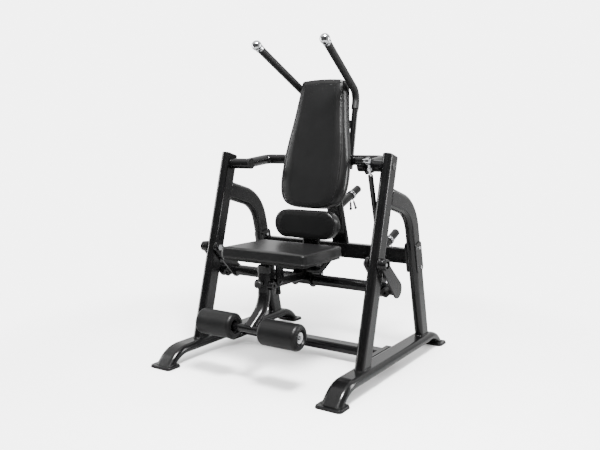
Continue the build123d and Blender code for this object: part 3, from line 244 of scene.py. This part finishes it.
def black_plastic():
    """Injection-moulded cap plastic with a fine spark-eroded grain."""
    material, tree, shader = new_material("black_plastic")
    slow = noise(tree, 25.0, 4.0, 0.6)
    grain = noise(tree, 1200.0, 2.0, 0.6)
    colour = ramp(tree, slow, near_black(0.0018), near_black(0.0036))
    colour_and_roughness(tree, shader, colour, spread(tree, slow, 0.34, 0.46))
    bump(tree, shader, [(grain, 0.00008, 0.4)])
    return material


def pale_bush():
    """Natural nylon bush with greasy darker patches."""
    material, tree, shader = new_material("nylon_bush")
    grease = noise(tree, 55.0, 5.0, 0.6)
    colour = ramp(tree, grease, (0.20, 0.185, 0.15), (0.50, 0.48, 0.42))
    colour_and_roughness(tree, shader, colour, spread(tree, grease, 0.35, 0.55))
    bump(tree, shader, [(noise(tree, 500.0), 0.00005, 0.3)])
    return material


def board_shell():
    """Semi-gloss vacuum-formed backing shell."""
    material, tree, shader = new_material("board_shell")
    slow = noise(tree, 12.0, 4.0, 0.6)
    pebble = cells(tree, 480.0)
    colour = ramp(tree, slow, near_black(0.0018), near_black(0.0040))
    colour_and_roughness(tree, shader, colour, spread(tree, slow, 0.28, 0.40))
    bump(tree, shader, [(pebble, 0.00012, 0.35)])
    return material


BACKDROP = 5.55          # brightness of the seamless backdrop
FADE_FROM = 1.5          # the floor fades into the backdrop between these radii, in metres
FADE_TO = 2.35
MIRRORED_FLOOR = 0.22    # the floor's grey in a reflection


def stage_floor():
    """Pale matt studio floor, dim in reflections, that fades into the backdrop round its rim."""
    material, tree, shader = new_material("stage_floor")
    slow = noise(tree, 1.5, 3.0, 0.5)
    colour = ramp(tree, slow, (0.90, 0.90, 0.90), (0.91, 0.91, 0.91))
    colour_and_roughness(tree, shader, colour, spread(tree, slow, 0.8, 0.9))
    shader.inputs["Specular IOR Level"].default_value = 0.0
    coords = tree.nodes.new("ShaderNodeTexCoord")
    distance = tree.nodes.new("ShaderNodeVectorMath")
    distance.operation = "LENGTH"
    tree.links.new(coords.outputs["Object"], distance.inputs[0])
    fade = smooth_step(tree, distance.outputs["Value"], FADE_FROM, FADE_TO)
    glow = tree.nodes.new("ShaderNodeEmission")
    glow.inputs["Strength"].default_value = BACKDROP
    faded = mix_shaders(tree, fade, shader.outputs["BSDF"], glow.outputs["Emission"])
    dim = tree.nodes.new("ShaderNodeBsdfDiffuse")
    dim.inputs["Color"].default_value = (MIRRORED_FLOOR, MIRRORED_FLOOR, MIRRORED_FLOOR, 1)
    seen = tree.nodes.new("ShaderNodeLightPath")
    surface = mix_shaders(tree, seen.outputs["Is Glossy Ray"], faded, dim.outputs["BSDF"])
    tree.links.new(surface, tree.nodes["Material Output"].inputs["Surface"])
    return material


MATERIALS = {
    "black_powder_coat": powder_coat(),
    "black_rubber": rubber(),
    "chrome": chrome(),
    "spring_wire": zinc_wire(),
    "black_plastic": black_plastic(),
    "bush_plastic": pale_bush(),
    "black_vinyl": upholstery("black_vinyl", 0.0022, 0.0042, 0.24, 0.32, 0.42),
    "board_shell": board_shell(),
}
ROLLER_VINYL = upholstery("roller_vinyl", 0.0014, 0.0028, 0.34, 0.44, 0.25)

slot_of = {entry["node"]: entry["material_slot"] for entry in frame["record"]["subparts"]}
for node_name, node in nodes.items():
    node.data.materials.clear()
    node.data.materials.append(MATERIALS[slot_of[node_name]])


# ---------------------------------------------------------------- geometry helpers
def coords_of(obj):
    """Vertex positions of an object, in metres."""
    flat = np.zeros(len(obj.data.vertices) * 3)
    obj.data.vertices.foreach_get("co", flat)
    return flat.reshape(-1, 3)


def set_coords(obj, points):
    """Write vertex positions."""
    obj.data.vertices.foreach_set("co", np.asarray(points, float).ravel())
    obj.data.update()


def mesh_object(name, points, faces, material):
    """New smooth-shaded mesh object from points and faces."""
    mesh = bpy.data.meshes.new(name)
    mesh.from_pydata([tuple(p) for p in points], [], faces)
    mesh.materials.append(material)
    mesh.polygons.foreach_set("use_smooth", [True] * len(mesh.polygons))
    mesh.update()
    obj = bpy.data.objects.new(name, mesh)
    bpy.context.scene.collection.objects.link(obj)
    return obj


def fix_normals(obj):
    """Face normals outwards."""
    edit = bmesh.new()
    edit.from_mesh(obj.data)
    bmesh.ops.recalc_face_normals(edit, faces=edit.faces)
    edit.to_mesh(obj.data)
    edit.free()


def search_tree(mesh):
    """Tree that finds the nearest point on a mesh's surface."""
    return BVHTree.FromPolygons([v.co for v in mesh.vertices], [p.vertices[:] for p in mesh.polygons])


def place(obj, body):
    """Put a finished piece on its body."""
    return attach(obj, body)


TUBE_SIDES = 8
TUBE_SKEW = (0.31, 0.23, 0.92)       # the round section starts square to this; no path begins along it


def tube_along(path, radius, ripple=0.0, ripple_step=4 * MM):
    """Points and faces of a round tube along a closed path; ripple swells it at regular steps."""
    path = np.asarray(path, float)
    count = len(path)
    tangent = np.roll(path, -1, 0) - np.roll(path, 1, 0)
    tangent /= np.linalg.norm(tangent, axis=1)[:, None]
    reach = np.concatenate([[0], np.cumsum(np.linalg.norm(np.diff(path, axis=0), axis=1))])
    side = np.cross(tangent[0], TUBE_SKEW)
    points, faces = [], []
    for i in range(count):
        side = side - tangent[i] * side.dot(tangent[i])
        side /= np.linalg.norm(side)
        other = np.cross(tangent[i], side)
        size = radius * (1 + ripple * sin(2 * pi * reach[i] / ripple_step))
        for k in range(TUBE_SIDES):
            a = 2 * pi * k / TUBE_SIDES
            points.append(path[i] + size * (cos(a) * side + sin(a) * other))
    last, first = np.array(points[-TUBE_SIDES:]), np.array(points[:TUBE_SIDES])
    gaps = [np.abs(np.roll(first, -shift, 0) - last).sum() for shift in range(TUBE_SIDES)]
    closing_turn = int(np.argmin(gaps))
    for i in range(count):
        j = (i + 1) % count
        turn = closing_turn if j == 0 else 0
        for k in range(TUBE_SIDES):
            a, b = i * TUBE_SIDES + k, i * TUBE_SIDES + (k + 1) % TUBE_SIDES
            c, d = j * TUBE_SIDES + (k + 1 + turn) % TUBE_SIDES, j * TUBE_SIDES + (k + turn) % TUBE_SIDES
            faces.append((a, b, c, d))
    return points, faces


def ring_faces(rings, sides):
    """Quads between neighbouring rings of points, with the last ring joined to the first."""
    faces = []
    for i in range(rings):
        j = (i + 1) % rings
        for k in range(sides):
            n = (k + 1) % sides
            faces.append((i * sides + k, i * sides + n, j * sides + n, j * sides + k))
    return faces


def resample(loop, step):
    """Even points round a closed loop."""
    loop = np.asarray(loop, float)
    closed = np.vstack([loop, loop[:1]])
    lengths = np.concatenate([[0], np.cumsum(np.linalg.norm(np.diff(closed, axis=0), axis=1))])
    count = max(12, int(round(lengths[-1] / step)))
    at = np.linspace(0, lengths[-1], count, endpoint=False)
    return np.stack([np.interp(at, lengths, closed[:, i]) for i in range(closed.shape[1])], 1)


def around(points_2d):
    """Order of 2-D points round their middle."""
    middle = (points_2d.max(0) + points_2d.min(0)) / 2
    return np.argsort(np.arctan2(points_2d[:, 1] - middle[1], points_2d[:, 0] - middle[0]))


def hull_order(points_2d):
    """Indices of the convex hull, in order."""
    order = np.lexsort((points_2d[:, 1], points_2d[:, 0]))

    def half(indices):
        chain = []
        for i in indices:
            while len(chain) > 1:
                a, b = points_2d[chain[-1]] - points_2d[chain[-2]], points_2d[i] - points_2d[chain[-1]]
                if a[0] * b[1] - a[1] * b[0] > 1e-9:
                    break
                chain.pop()
            chain.append(i)
        return chain[:-1]

    return half(order) + half(order[::-1])


# ---------------------------------------------------------------- weld beads
WELD_TOUCH = 0.6 * MM    # points this near the other part count as touching it
WELD_STEP = 1.0 * MM
WELD_RADIUS = 3.2 * MM
WELD_RIPPLE = 0.10       # swell of each ripple, as a share of the bead's radius
RIPPLE_STEP = 3.4 * MM
FEWEST_TOUCHING = 6


def weld(name, part_node, onto_node, body, radius=WELD_RADIUS, keep=None):
    """Rippled weld bead round the mouth of one CAD node where it meets another.

    keep takes a point and says whether it may belong to the bead; None keeps all of them.
    """
    surface = search_tree(nodes[onto_node].data)
    contact = []
    for point in coords_of(nodes[part_node]):
        if keep and not keep(point):
            continue
        near, _, _, distance = surface.find_nearest(Vector(point))
        if near is not None and distance < WELD_TOUCH:
            contact.append(point)
    if len(contact) < FEWEST_TOUCHING:
        print("weld", name, "found no contact", len(contact))
        return
    contact = np.unique(np.round(np.array(contact), 6), axis=0)
    _, _, axes = np.linalg.svd(contact - contact.mean(0))
    flat = (contact - contact.mean(0)) @ axes[:2].T
    path = resample(contact[hull_order(flat)], WELD_STEP)
    points, faces = tube_along(path, radius, WELD_RIPPLE, RIPPLE_STEP)
    bead = mesh_object(f"weld_{name}", points, faces, MATERIALS["black_powder_coat"])
    place(bead, body)


for side in ("left", "right"):
    weld(f"upright_foot_{side}", f"upright_{side}", f"base_rail_{side}", "frame")
    weld(f"rear_leg_foot_{side}", f"rear_leg_{side}", f"base_rail_{side}", "frame")
    weld(f"rear_leg_top_{side}", f"rear_leg_{side}", f"upright_{side}", "frame")
    weld(f"handle_foot_{side}", f"handle_tube_{side}", "yoke", "upper_swing", 2.4 * MM)
    for end, y_sign in (("front", -1), ("rear", 1)):
        weld(f"rail_{end}_{side}", f"base_rail_{side}", "foot_plates", "frame", 3.0 * MM,
             lambda point, y_sign=y_sign: point[1] * y_sign > 0)
weld("mast_top", "mast", "yoke", "upper_swing")
weld("load_horn", "load_horn", "mast", "upper_swing", 2.6 * MM)


# ---------------------------------------------------------------- upholstered pads
BACK_FACE = 0.5 * MM     # points this near the deepest one belong to a pad's flat back face
FRONT_ROOM = 1.5 * MM    # room in front of the panel before it is inflated
HELD_BELOW = 5 * MM      # the cover is held wherever it is lower than this under the panel's edge
RELEASE = 4 * MM         # and comes free over this height above that
BACK_EDGE = 3.0 * MM     # height of the rounded edge at the back
SIDE_INSET = 0.6 * MM    # the side band stands in from the CAD outline by this
SIDE_TURNS = (0.2, 0.4, 0.6, 0.75, 0.87, 0.95)
SEAM_TURN = 0.985        # how far round the side roll the front seam sits
SEAM_HEIGHT = 0.992      # the front seam's height over the outline's
SEAM_DROP = 0.6 * MM     # the front seam lies this far below the panel's edge
BACK_SEAM = (0.8 * MM, 0.01, 7 * MM)     # inset, share of the side roll, height
GROOVE_DEPTH = 1.6 * MM
GROOVE_WIDTH = 3.0 * MM
WELT_RADIUS = 1.5 * MM
WELT_LIFT = 0.6 * MM     # the welt's middle stands this far off the cover
OUTLINE_STEP = 6 * MM
SEAM_STEP = 2 * MM
WELT_STEP = 2.5 * MM
COVER_PRESSURE = 4.0
COVER_STIFFNESS = 18     # against stretch and against squash
CLOTH_FRAMES = 20
ADDED_CROWN = 0.4        # share of the crown added to a cover that has been inflated


def pad_frame(node_name, facing):
    """Frame of a slab-like pad: origin, two in-plane directions, outward normal, thickness, outline.

    The outline is the loop of its flat back face, as 2-D points in order.
    """
    mesh = nodes[node_name].data
    facing = np.array(facing, float)
    best, normal = 0.0, facing
    areas = {}
    for polygon in mesh.polygons:
        n = np.array(polygon.normal)
        if n.dot(facing) > 0.5:
            key = tuple(np.round(n, 2))
            areas[key] = areas.get(key, 0.0) + polygon.area
            if areas[key] > best:
                best, normal = areas[key], n
    points = coords_of(nodes[node_name])
    depth = points @ normal
    right = np.array([1.0, 0.0, 0.0])
    up = np.cross(normal, right)
    back = points[depth < depth.min() + BACK_FACE]
    flat = np.stack([back @ right, back @ up], 1)
    flat = np.unique(np.round(flat, 5), axis=0)
    loop = flat[around(flat)]
    middle = (loop.max(0) + loop.min(0)) / 2
    origin = right * middle[0] + up * middle[1] + normal * depth.min()
    return origin, right, up, normal, depth.max() - depth.min(), loop - middle


def inset_loop(loop, amount):
    """Loop moved inwards along its own normals."""
    ahead = np.roll(loop, -2, 0) - np.roll(loop, 2, 0)
    ahead /= np.linalg.norm(ahead, axis=1)[:, None]
    inward = np.stack([-ahead[:, 1], ahead[:, 0]], 1)
    if ((loop + inward * 1e-3) ** 2).sum() > (loop**2).sum():
        inward = -inward
    return loop + inward * amount


def drawn_in(loop, inset, share, narrowing):
    """Outline moved in by inset, then drawn in by a share of the side roll.

    narrowing holds the front seam's width over the outline's, from the pad's foot to its top.
    """
    up = (loop[:, 1] - loop[:, 1].min()) / np.ptp(loop[:, 1])
    width = np.interp(up, np.linspace(0, 1, len(narrowing)), narrowing)
    scale = np.stack([width, np.full(len(loop), SEAM_HEIGHT)], 1)
    return inset_loop(loop, inset) * (1 + share * (scale - 1))


def slab_mesh(name, pad, rings, narrowing, material):
    """Closed body from rings of (inset, share of the side roll, height), closed by flat caps."""
    origin, right, up, normal, _, loop = pad
    loop = resample(loop, OUTLINE_STEP)
    points, faces = [], []
    for inset, share, height in rings:
        ring = drawn_in(loop, inset, share, narrowing)
        points += [origin + right * u + up * v + normal * height for u, v in ring]
    count = len(loop)
    for r in range(len(rings) - 1):
        for k in range(count):
            j = (k + 1) % count
            faces.append((r * count + k, r * count + j, (r + 1) * count + j, (r + 1) * count + k))
    faces.append(tuple(range(count))[::-1])
    faces.append(tuple((len(rings) - 1) * count + k for k in range(count)))
    obj = mesh_object(name, points, faces, material)
    fix_normals(obj)
    return obj


def apply_modifiers(obj):
    """Replace the mesh with its evaluated result."""
    graph = bpy.context.evaluated_depsgraph_get()
    done = bpy.data.meshes.new_from_object(obj.evaluated_get(graph))
    materials = list(obj.data.materials)
    obj.modifiers.clear()
    obj.data = done
    obj.data.materials.clear()
    for material in materials:
        obj.data.materials.append(material)
    obj.data.polygons.foreach_set("use_smooth", [True] * len(obj.data.polygons))


def remesh(obj, voxel):
    """Even quads all over."""
    modifier = obj.modifiers.new("remesh", "REMESH")
    modifier.mode = "VOXEL"
    modifier.voxel_size = voxel
    modifier.use_smooth_shade = True
    apply_modifiers(obj)


def inflate(obj, pins, cap):
    """Cloth simulation: the cover swells under pressure, held at pins; no point moves more than cap."""
    rest = coords_of(obj)
    group = obj.vertex_groups.new(name="pins")
    for index, weight in enumerate(pins):
        if weight > 0.01:
            group.add([index], float(weight), "REPLACE")
    cloth = obj.modifiers.new("cloth", "CLOTH")
    cloth.settings.vertex_group_mass = "pins"
    cloth.settings.use_pressure = True
    cloth.settings.uniform_pressure_force = COVER_PRESSURE
    cloth.settings.effector_weights.gravity = 0.0
    cloth.settings.tension_stiffness = COVER_STIFFNESS
    cloth.settings.compression_stiffness = COVER_STIFFNESS
    cloth.settings.bending_stiffness = 0.8
    cloth.settings.quality = 5
    cloth.point_cache.frame_start = 1
    cloth.point_cache.frame_end = CLOTH_FRAMES
    scene = bpy.context.scene
    for number in range(1, CLOTH_FRAMES + 1):
        scene.frame_set(number)
    apply_modifiers(obj)
    scene.frame_set(1)
    moved = coords_of(obj) - rest
    length = np.linalg.norm(moved, axis=1)
    keep = np.minimum(1.0, cap / np.maximum(length, 1e-9))
    set_coords(obj, rest + moved * keep[:, None])
    obj.vertex_groups.clear()


def subdivide(obj):
    """One smoothing subdivision."""
    modifier = obj.modifiers.new("smooth", "SUBSURF")
    modifier.levels = 1
    modifier.render_levels = 1
    apply_modifiers(obj)


def surface_path(obj, path, lift=0.0):
    """Path dropped on the object's surface, lifted along its normals."""
    tree = search_tree(obj.data)
    result = []
    for point in path:
        near, normal, _, _ = tree.find_nearest(Vector(point))
        result.append(np.array(near + normal * lift))
    return np.array(result)


def press_groove(obj, path, depth, width):
    """Pull the cover in along a seam, with a soft shoulder each side."""
    finder = KDTree(len(path))
    for index, point in enumerate(path):
        finder.insert(Vector(point), index)
    finder.balance()
    points = coords_of(obj)
    normals = np.zeros(len(points) * 3)
    obj.data.vertices.foreach_get("normal", normals)
    normals = normals.reshape(-1, 3)
    distance = np.array([finder.find(Vector(p))[2] for p in points])
    pull = depth * np.exp(-((distance / width) ** 2))
    set_coords(obj, points - normals * pull[:, None])


def make_pad(name, node_name, body, facing, narrowing, crown, cap, voxel=5 * MM):
    """Upholstered pad over a CAD slab: inflated front panel, rolled side band, two seams with welts.

    It inflates the cover, by no more than cap, and adds a share of the crown.
    """
    pad = pad_frame(node_name, facing)
    origin, right, up, normal, thick, loop = pad
    front = thick - FRONT_ROOM
    rings = [(10 * MM, 0, 0.4 * MM), (3.0 * MM, 0, 0.6 * MM), (1.0 * MM, 0, BACK_EDGE)]
    for turn in (*SIDE_TURNS, SEAM_TURN):
        rings.append((SIDE_INSET, 1 - sqrt(1 - turn**2), BACK_EDGE + turn * (front - BACK_EDGE)))
    rings += [(1.0 * MM, 1, front), (8 * MM, 1, front + 0.4 * MM)]
    obj = slab_mesh(name, pad, rings, narrowing, MATERIALS["black_vinyl"])
    outline = resample(loop, SEAM_STEP)
    front_seam = (SIDE_INSET, 1 - sqrt(1 - SEAM_TURN**2), front - SEAM_DROP)
    seams = []
    for inset, share, height in (front_seam, BACK_SEAM):
        ring = drawn_in(outline, inset, share, narrowing)
        seams.append(np.array([origin + right * u + up * v + normal * height for u, v in ring]))
    remesh(obj, voxel)
    points = coords_of(obj)
    height = points @ normal - origin @ normal
    pins = np.clip(1 - (height - (front - HELD_BELOW)) / RELEASE, 0, 1)
    lift = crown
    inflate(obj, pins, cap)
    points = coords_of(obj)
    lift = ADDED_CROWN * crown
    centre = points @ np.stack([right, up], 1) - np.array([origin @ right, origin @ up])
    half = np.abs(loop).max(0)
    swell = np.clip(1 - (np.abs(centre) / half) ** 4, 0, 1).prod(1)
    set_coords(obj, points + normal * (lift * swell * (1 - pins))[:, None])
    subdivide(obj)
    for index, seam in enumerate(seams):
        press_groove(obj, surface_path(obj, seam), GROOVE_DEPTH, GROOVE_WIDTH)
        welt_path = resample(surface_path(obj, seam, WELT_LIFT), WELT_STEP)
        welt_points, welt_faces = tube_along(welt_path, WELT_RADIUS)
        welt = mesh_object(f"{name}_welt_{index}", welt_points, welt_faces, MATERIALS["black_vinyl"])
        place(welt, body)
    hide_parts(node_name)
    place(obj, body)


# the front seam's width over the outline's, from the pad's foot to its top
BACK_NARROWING = (0.80, 0.81, 0.80, 0.84, 0.865, 0.86, 0.87, 0.90)
SEAT_NARROWING = (0.990, 0.990)
LUMBAR_NARROWING = (0.94, 0.94)
FORWARD = (0, -1, 0)
UPWARD = (0, 0, 1)
make_pad("back_cushion", "back_pad", "upper_swing", FORWARD, BACK_NARROWING, 3 * MM, 4 * MM)
make_pad("seat_cushion", "seat_pad", "cradle", UPWARD, SEAT_NARROWING, 2 * MM, 3 * MM)
make_pad("lumbar_cushion", "lumbar_pad", "cradle", FORWARD, LUMBAR_NARROWING, 3 * MM, 5 * MM, 4 * MM)


# ---------------------------------------------------------------- leg rollers
ROLLER_BORE = 21.3 * MM
ROLLER_SIDES = 96
ROLLER_PLUG = 12 * MM    # the plug in the dished end lies this deep
# dished end from the plug outwards: depth in from the end, share of the roller's radius
ROLLER_DISH = ((ROLLER_PLUG, 0.50), (10 * MM, 0.555), (3 * MM, 0.575), (0.8 * MM, 0.60),
               (0.0, 0.635), (0.7 * MM, 0.675), (2.2 * MM, 0.695))
SHOULDER_FOOT = 0.71     # share of the radius where the rounded shoulder starts
SHOULDER_REACH = 0.29    # and the shoulder's own radius, as a share of it
SHOULDER_DEPTH = 1.6 * MM
SHOULDER_STEPS = 9
BARREL_STEPS = 12
BARREL_BELLY = 0.6 * MM
BARREL_SHARE = 0.97      # the seam runs where the profile is beyond this share of the radius
ROLLER_SEAM_ANGLE = 2.4  # radians round the roller, from +Y towards +Z
ROLLER_GROOVE = 0.8 * MM


def roller_mesh(name, node_name, body):
    """Foam roller in a vinyl sleeve: barrel, rounded shoulders, lengthwise seam and dished ends."""
    low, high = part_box(node_name)
    centre = (low + high) / 2
    half, radius = (high.x - low.x) / 2, (high.z - low.z) / 2
    profile = [(-half + ROLLER_PLUG, ROLLER_BORE)]
    profile += [(-half + depth, share * radius) for depth, share in ROLLER_DISH]
    reach = SHOULDER_REACH * radius
    for step in range(SHOULDER_STEPS + 1):
        a = radians(180 - 90 * step / SHOULDER_STEPS)
        x = -half + SHOULDER_DEPTH + reach + reach * cos(a)
        profile.append((x, SHOULDER_FOOT * radius + reach * sin(a)))
    left_side = list(profile)
    for step in range(1, BARREL_STEPS):
        t = step / BARREL_STEPS
        x = left_side[-1][0] * (1 - t) - left_side[-1][0] * t
        profile.append((x, radius - BARREL_BELLY + BARREL_BELLY * sin(pi * t)))
    profile += [(-x, r) for x, r in reversed(left_side)]
    points = []
    for x, r in profile:
        for k in range(ROLLER_SIDES):
            a = 2 * pi * k / ROLLER_SIDES
            points.append((centre.x + x, centre.y + r * cos(a), centre.z + r * sin(a)))
    obj = mesh_object(name, points, ring_faces(len(profile), ROLLER_SIDES), ROLLER_VINYL)
    fix_normals(obj)
    subdivide(obj)
    seam_y, seam_z = cos(ROLLER_SEAM_ANGLE), sin(ROLLER_SEAM_ANGLE)
    seam = [(centre.x + x, centre.y + r * seam_y, centre.z + r * seam_z)
            for x, r in profile if r > BARREL_SHARE * radius]
    press_groove(obj, seam, ROLLER_GROOVE, GROOVE_WIDTH)
    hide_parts(node_name)
    place(obj, body)


for side in ("left", "right"):
    roller_mesh(f"roller_cover_{side}", f"roller_{side}", f"roller_{side}_spin")


# ---------------------------------------------------------------- trim on the grips and spring collars
LATHE_SKEW = (0.83, 0.31, 0.46)      # the first point of each ring lies square to this; no axis runs along it


def lathe(name, origin, axis, profile, material, sides=40):
    """Closed ring or plug: a closed profile of (distance along the axis, radius) turned round it."""
    axis = np.asarray(axis, float) / np.linalg.norm(axis)
    side = np.cross(axis, LATHE_SKEW)
    side /= np.linalg.norm(side)
    other = np.cross(axis, side)
    points = [origin + axis * x + (side * cos(2 * pi * k / sides) + other * sin(2 * pi * k / sides)) * r
              for x, r in profile for k in range(sides)]
    obj = mesh_object(name, points, ring_faces(len(profile), sides), material)
    fix_normals(obj)
    return obj


EDGE_STEPS = 5


def rounded_sleeve(length, inner, outer, edge):
    """Profile of a sleeve with rounded outer edges."""
    profile = [(0, inner)]
    for start, middle in ((180, edge), (90, length - edge)):
        for step in range(EDGE_STEPS + 1):
            a = radians(start - 90 * step / EDGE_STEPS)
            profile.append((middle + edge * cos(a), outer - edge + edge * sin(a)))
    return profile + [(length, inner)]


def main_axis(points):
    """Middle and long direction of a point cloud."""
    middle = (points.max(0) + points.min(0)) / 2
    _, _, axes = np.linalg.svd(points - points.mean(0), full_matrices=False)
    return middle, axes[0]


GRIP_RING_LONG = 9 * MM
GRIP_RING_OVERLAP = 2 * MM
GRIP_RING_EDGE = 1.5 * MM
RING_WALL_IN = 3 * MM    # the ring's bore lies this far inside the grip's own radius
RING_PROUD = 0.8 * MM    # and its outside this far outside it
RIM_POINTS = 24          # lowest points of a grip, which make up its end
for side, sign in (("left", -1), ("right", 1)):
    grip = coords_of(nodes["handle_grips"])
    grip = grip[grip[:, 0] * sign > 0]
    rim_points = grip[np.argsort(grip[:, 2])[:RIM_POINTS]]
    centre = rim_points.mean(0)
    _, _, axes = np.linalg.svd(rim_points - centre, full_matrices=False)
    along = axes[2] * np.sign(axes[2][2])
    reach = np.linalg.norm(rim_points - centre, axis=1).max()
    profile = rounded_sleeve(GRIP_RING_LONG + GRIP_RING_OVERLAP, reach - RING_WALL_IN, reach + RING_PROUD,
                             GRIP_RING_EDGE)
    ring = lathe(f"grip_ring_{side}", centre - along * GRIP_RING_LONG, along, profile, MATERIALS["chrome"])
    place(ring, "upper_swing")

horn_of = {"load_collar": "load_horn", "storage_collar_left": "storage_horn_left",
           "storage_collar_right": "storage_horn_right"}
body_of = {node: body for body, members in frame["record"]["behaviour"]["bodies"].items() for node in members}
mount_of = {mount["name"]: mount for mount in frame["record"]["mounts"]}
LEG_CLEAR = 50 * MM      # the pinch legs' sleeves begin this far from the horn's axis
COIL_REACH = 33 * MM     # the collar's coil lies within this distance of the axis
SLEEVE_OVERLAP = 2 * MM
SLEEVE_WALL = 1.0 * MM
SLEEVE_CORE = 0.1 * MM   # the sleeve closes to nearly nothing at its ends
SLEEVE_EDGE = 3 * MM
COLLAR_RING_LONG = 6 * MM
COLLAR_RING_EDGE = 1.6 * MM
COLLAR_RING_IN = 5 * MM  # the ring begins this far in from the coil's outer end, and is this thick inwards
for collar, horn in horn_of.items():
    root = np.array(mount_of[horn]["pos_m"], float)
    axis = np.array(mount_of[horn]["axis"], float)
    points = coords_of(nodes[collar])
    offset = points - root
    along = offset @ axis
    off_axis = np.linalg.norm(offset - along[:, None] * axis, axis=1)
    far = off_axis > LEG_CLEAR
    split = (along[far].max() + along[far].min()) / 2
    for index, leg in enumerate((far & (along < split), far & (along >= split))):
        middle, direction = main_axis(points[leg])
        spans = (points[leg] - middle) @ direction
        across_leg = (points[leg] - middle) - spans[:, None] * direction
        radius = np.linalg.norm(across_leg, axis=1).max()
        length = np.ptp(spans) + SLEEVE_OVERLAP
        wall = rounded_sleeve(length, SLEEVE_CORE, radius + SLEEVE_WALL, SLEEVE_EDGE)
        sleeve = lathe(f"{collar}_sleeve_{index}", middle - direction * length / 2, direction, wall,
                       MATERIALS["black_rubber"], 24)
        place(sleeve, body_of[collar])
    near_axis = off_axis < COIL_REACH
    outer_end = along[near_axis].max()
    size = off_axis[near_axis].max()
    profile = rounded_sleeve(COLLAR_RING_LONG, size - COLLAR_RING_IN, size + RING_PROUD, COLLAR_RING_EDGE)
    ring = lathe(f"{collar}_ring", root + axis * (outer_end - COLLAR_RING_IN), axis, profile,
                 MATERIALS["chrome"], 48)
    place(ring, body_of[collar])


# ---------------------------------------------------------------- floor, light and camera
FLOOR_RADIUS = 2.4
FLOOR_SIDES = 128
rim = [(FLOOR_RADIUS * cos(2 * pi * k / FLOOR_SIDES), FLOOR_RADIUS * sin(2 * pi * k / FLOOR_SIDES), 0)
       for k in range(FLOOR_SIDES)]
floor = mesh_object("stage_floor", rim, [tuple(range(FLOOR_SIDES))], stage_floor())

BRIGHT_WALL = 4.3        # studio walls left, right, behind and above
DARK_WALL = 0.35         # unlit end of the studio, in front of the machine
RIGHT_WALL_SHARE = 0.38  # how bright the right wall is beside the others
MIRRORED_SHARE = 0.28    # how bright the walls look in a reflection beside what lights the part
world = bpy.data.worlds.new("studio")
bpy.context.scene.world = world
world.use_nodes = True
studio = world.node_tree
sky = studio.nodes["Background"]
direction = studio.nodes.new("ShaderNodeTexCoord")
parts = studio.nodes.new("ShaderNodeSeparateXYZ")
studio.links.new(direction.outputs["Generated"], parts.inputs["Vector"])
towards_right = smooth_step(studio, parts.outputs["X"], 0.0, 0.8)
towards_front = smooth_step(studio, parts.outputs["Y"], 0.05, -0.75)
below_ceiling = smooth_step(studio, parts.outputs["Z"], 0.85, 0.35)
darkness = combine(studio, "MULTIPLY", towards_front, below_ceiling)
walls = spread(studio, darkness, BRIGHT_WALL, DARK_WALL)
walls = combine(studio, "MULTIPLY", walls, spread(studio, towards_right, 1.0, RIGHT_WALL_SHARE))
seen = studio.nodes.new("ShaderNodeLightPath")
dimming = spread(studio, seen.outputs["Is Glossy Ray"], 1.0, MIRRORED_SHARE)
walls = combine(studio, "MULTIPLY", walls, dimming)
strength = studio.nodes.new("ShaderNodeMix")
studio.links.new(seen.outputs["Is Camera Ray"], strength.inputs["Factor"])
studio.links.new(walls, strength.inputs["A"])
strength.inputs["B"].default_value = BACKDROP
studio.links.new(strength.outputs["Result"], sky.inputs["Strength"])
sky.inputs["Color"].default_value = (1.0, 1.0, 1.0, 1.0)


def area_light(name, location, target, wide, high, power):
    """Soft box aimed at a point."""
    light = bpy.data.lights.new(name, "AREA")
    light.shape = "RECTANGLE"
    light.size = wide
    light.size_y = high
    light.energy = power
    obj = bpy.data.objects.new(name, light)
    obj.location = location
    obj.rotation_euler = (Vector(target) - Vector(location)).to_track_quat("-Z", "Y").to_euler()
    bpy.context.scene.collection.objects.link(obj)


area_light("top_box", (1.15, -1.35, 3.9), (0, 0, 0.2), 1.0, 1.0, 600)
area_light("left_strip", (-3.6, -1.3, 1.3), (0, 0, 0.9), 0.45, 2.8, 80)
area_light("rear_strip", (3.4, 2.4, 1.6), (0, 0, 0.9), 0.6, 2.8, 110)

CAMERA_TURN = radians(33.03)
CAMERA_TILT = radians(6.809)
CAMERA_PLACE = (2.0906, -3.2906, 1.25)
camera_data = bpy.data.cameras.new("camera")
camera_data.lens = 39.97
camera_data.sensor_width = 36.0
camera = bpy.data.objects.new("camera", camera_data)
level = cos(CAMERA_TILT)
backwards = Vector((sin(CAMERA_TURN) * level, -cos(CAMERA_TURN) * level, sin(CAMERA_TILT)))
sideways = Vector((cos(CAMERA_TURN), sin(CAMERA_TURN), 0))
upwards = backwards.cross(sideways)
camera.matrix_world = Matrix((
    (sideways.x, upwards.x, backwards.x, CAMERA_PLACE[0]),
    (sideways.y, upwards.y, backwards.y, CAMERA_PLACE[1]),
    (sideways.z, upwards.z, backwards.z, CAMERA_PLACE[2]),
    (0, 0, 0, 1),
))
bpy.context.scene.collection.objects.link(camera)
bpy.context.scene.camera = camera

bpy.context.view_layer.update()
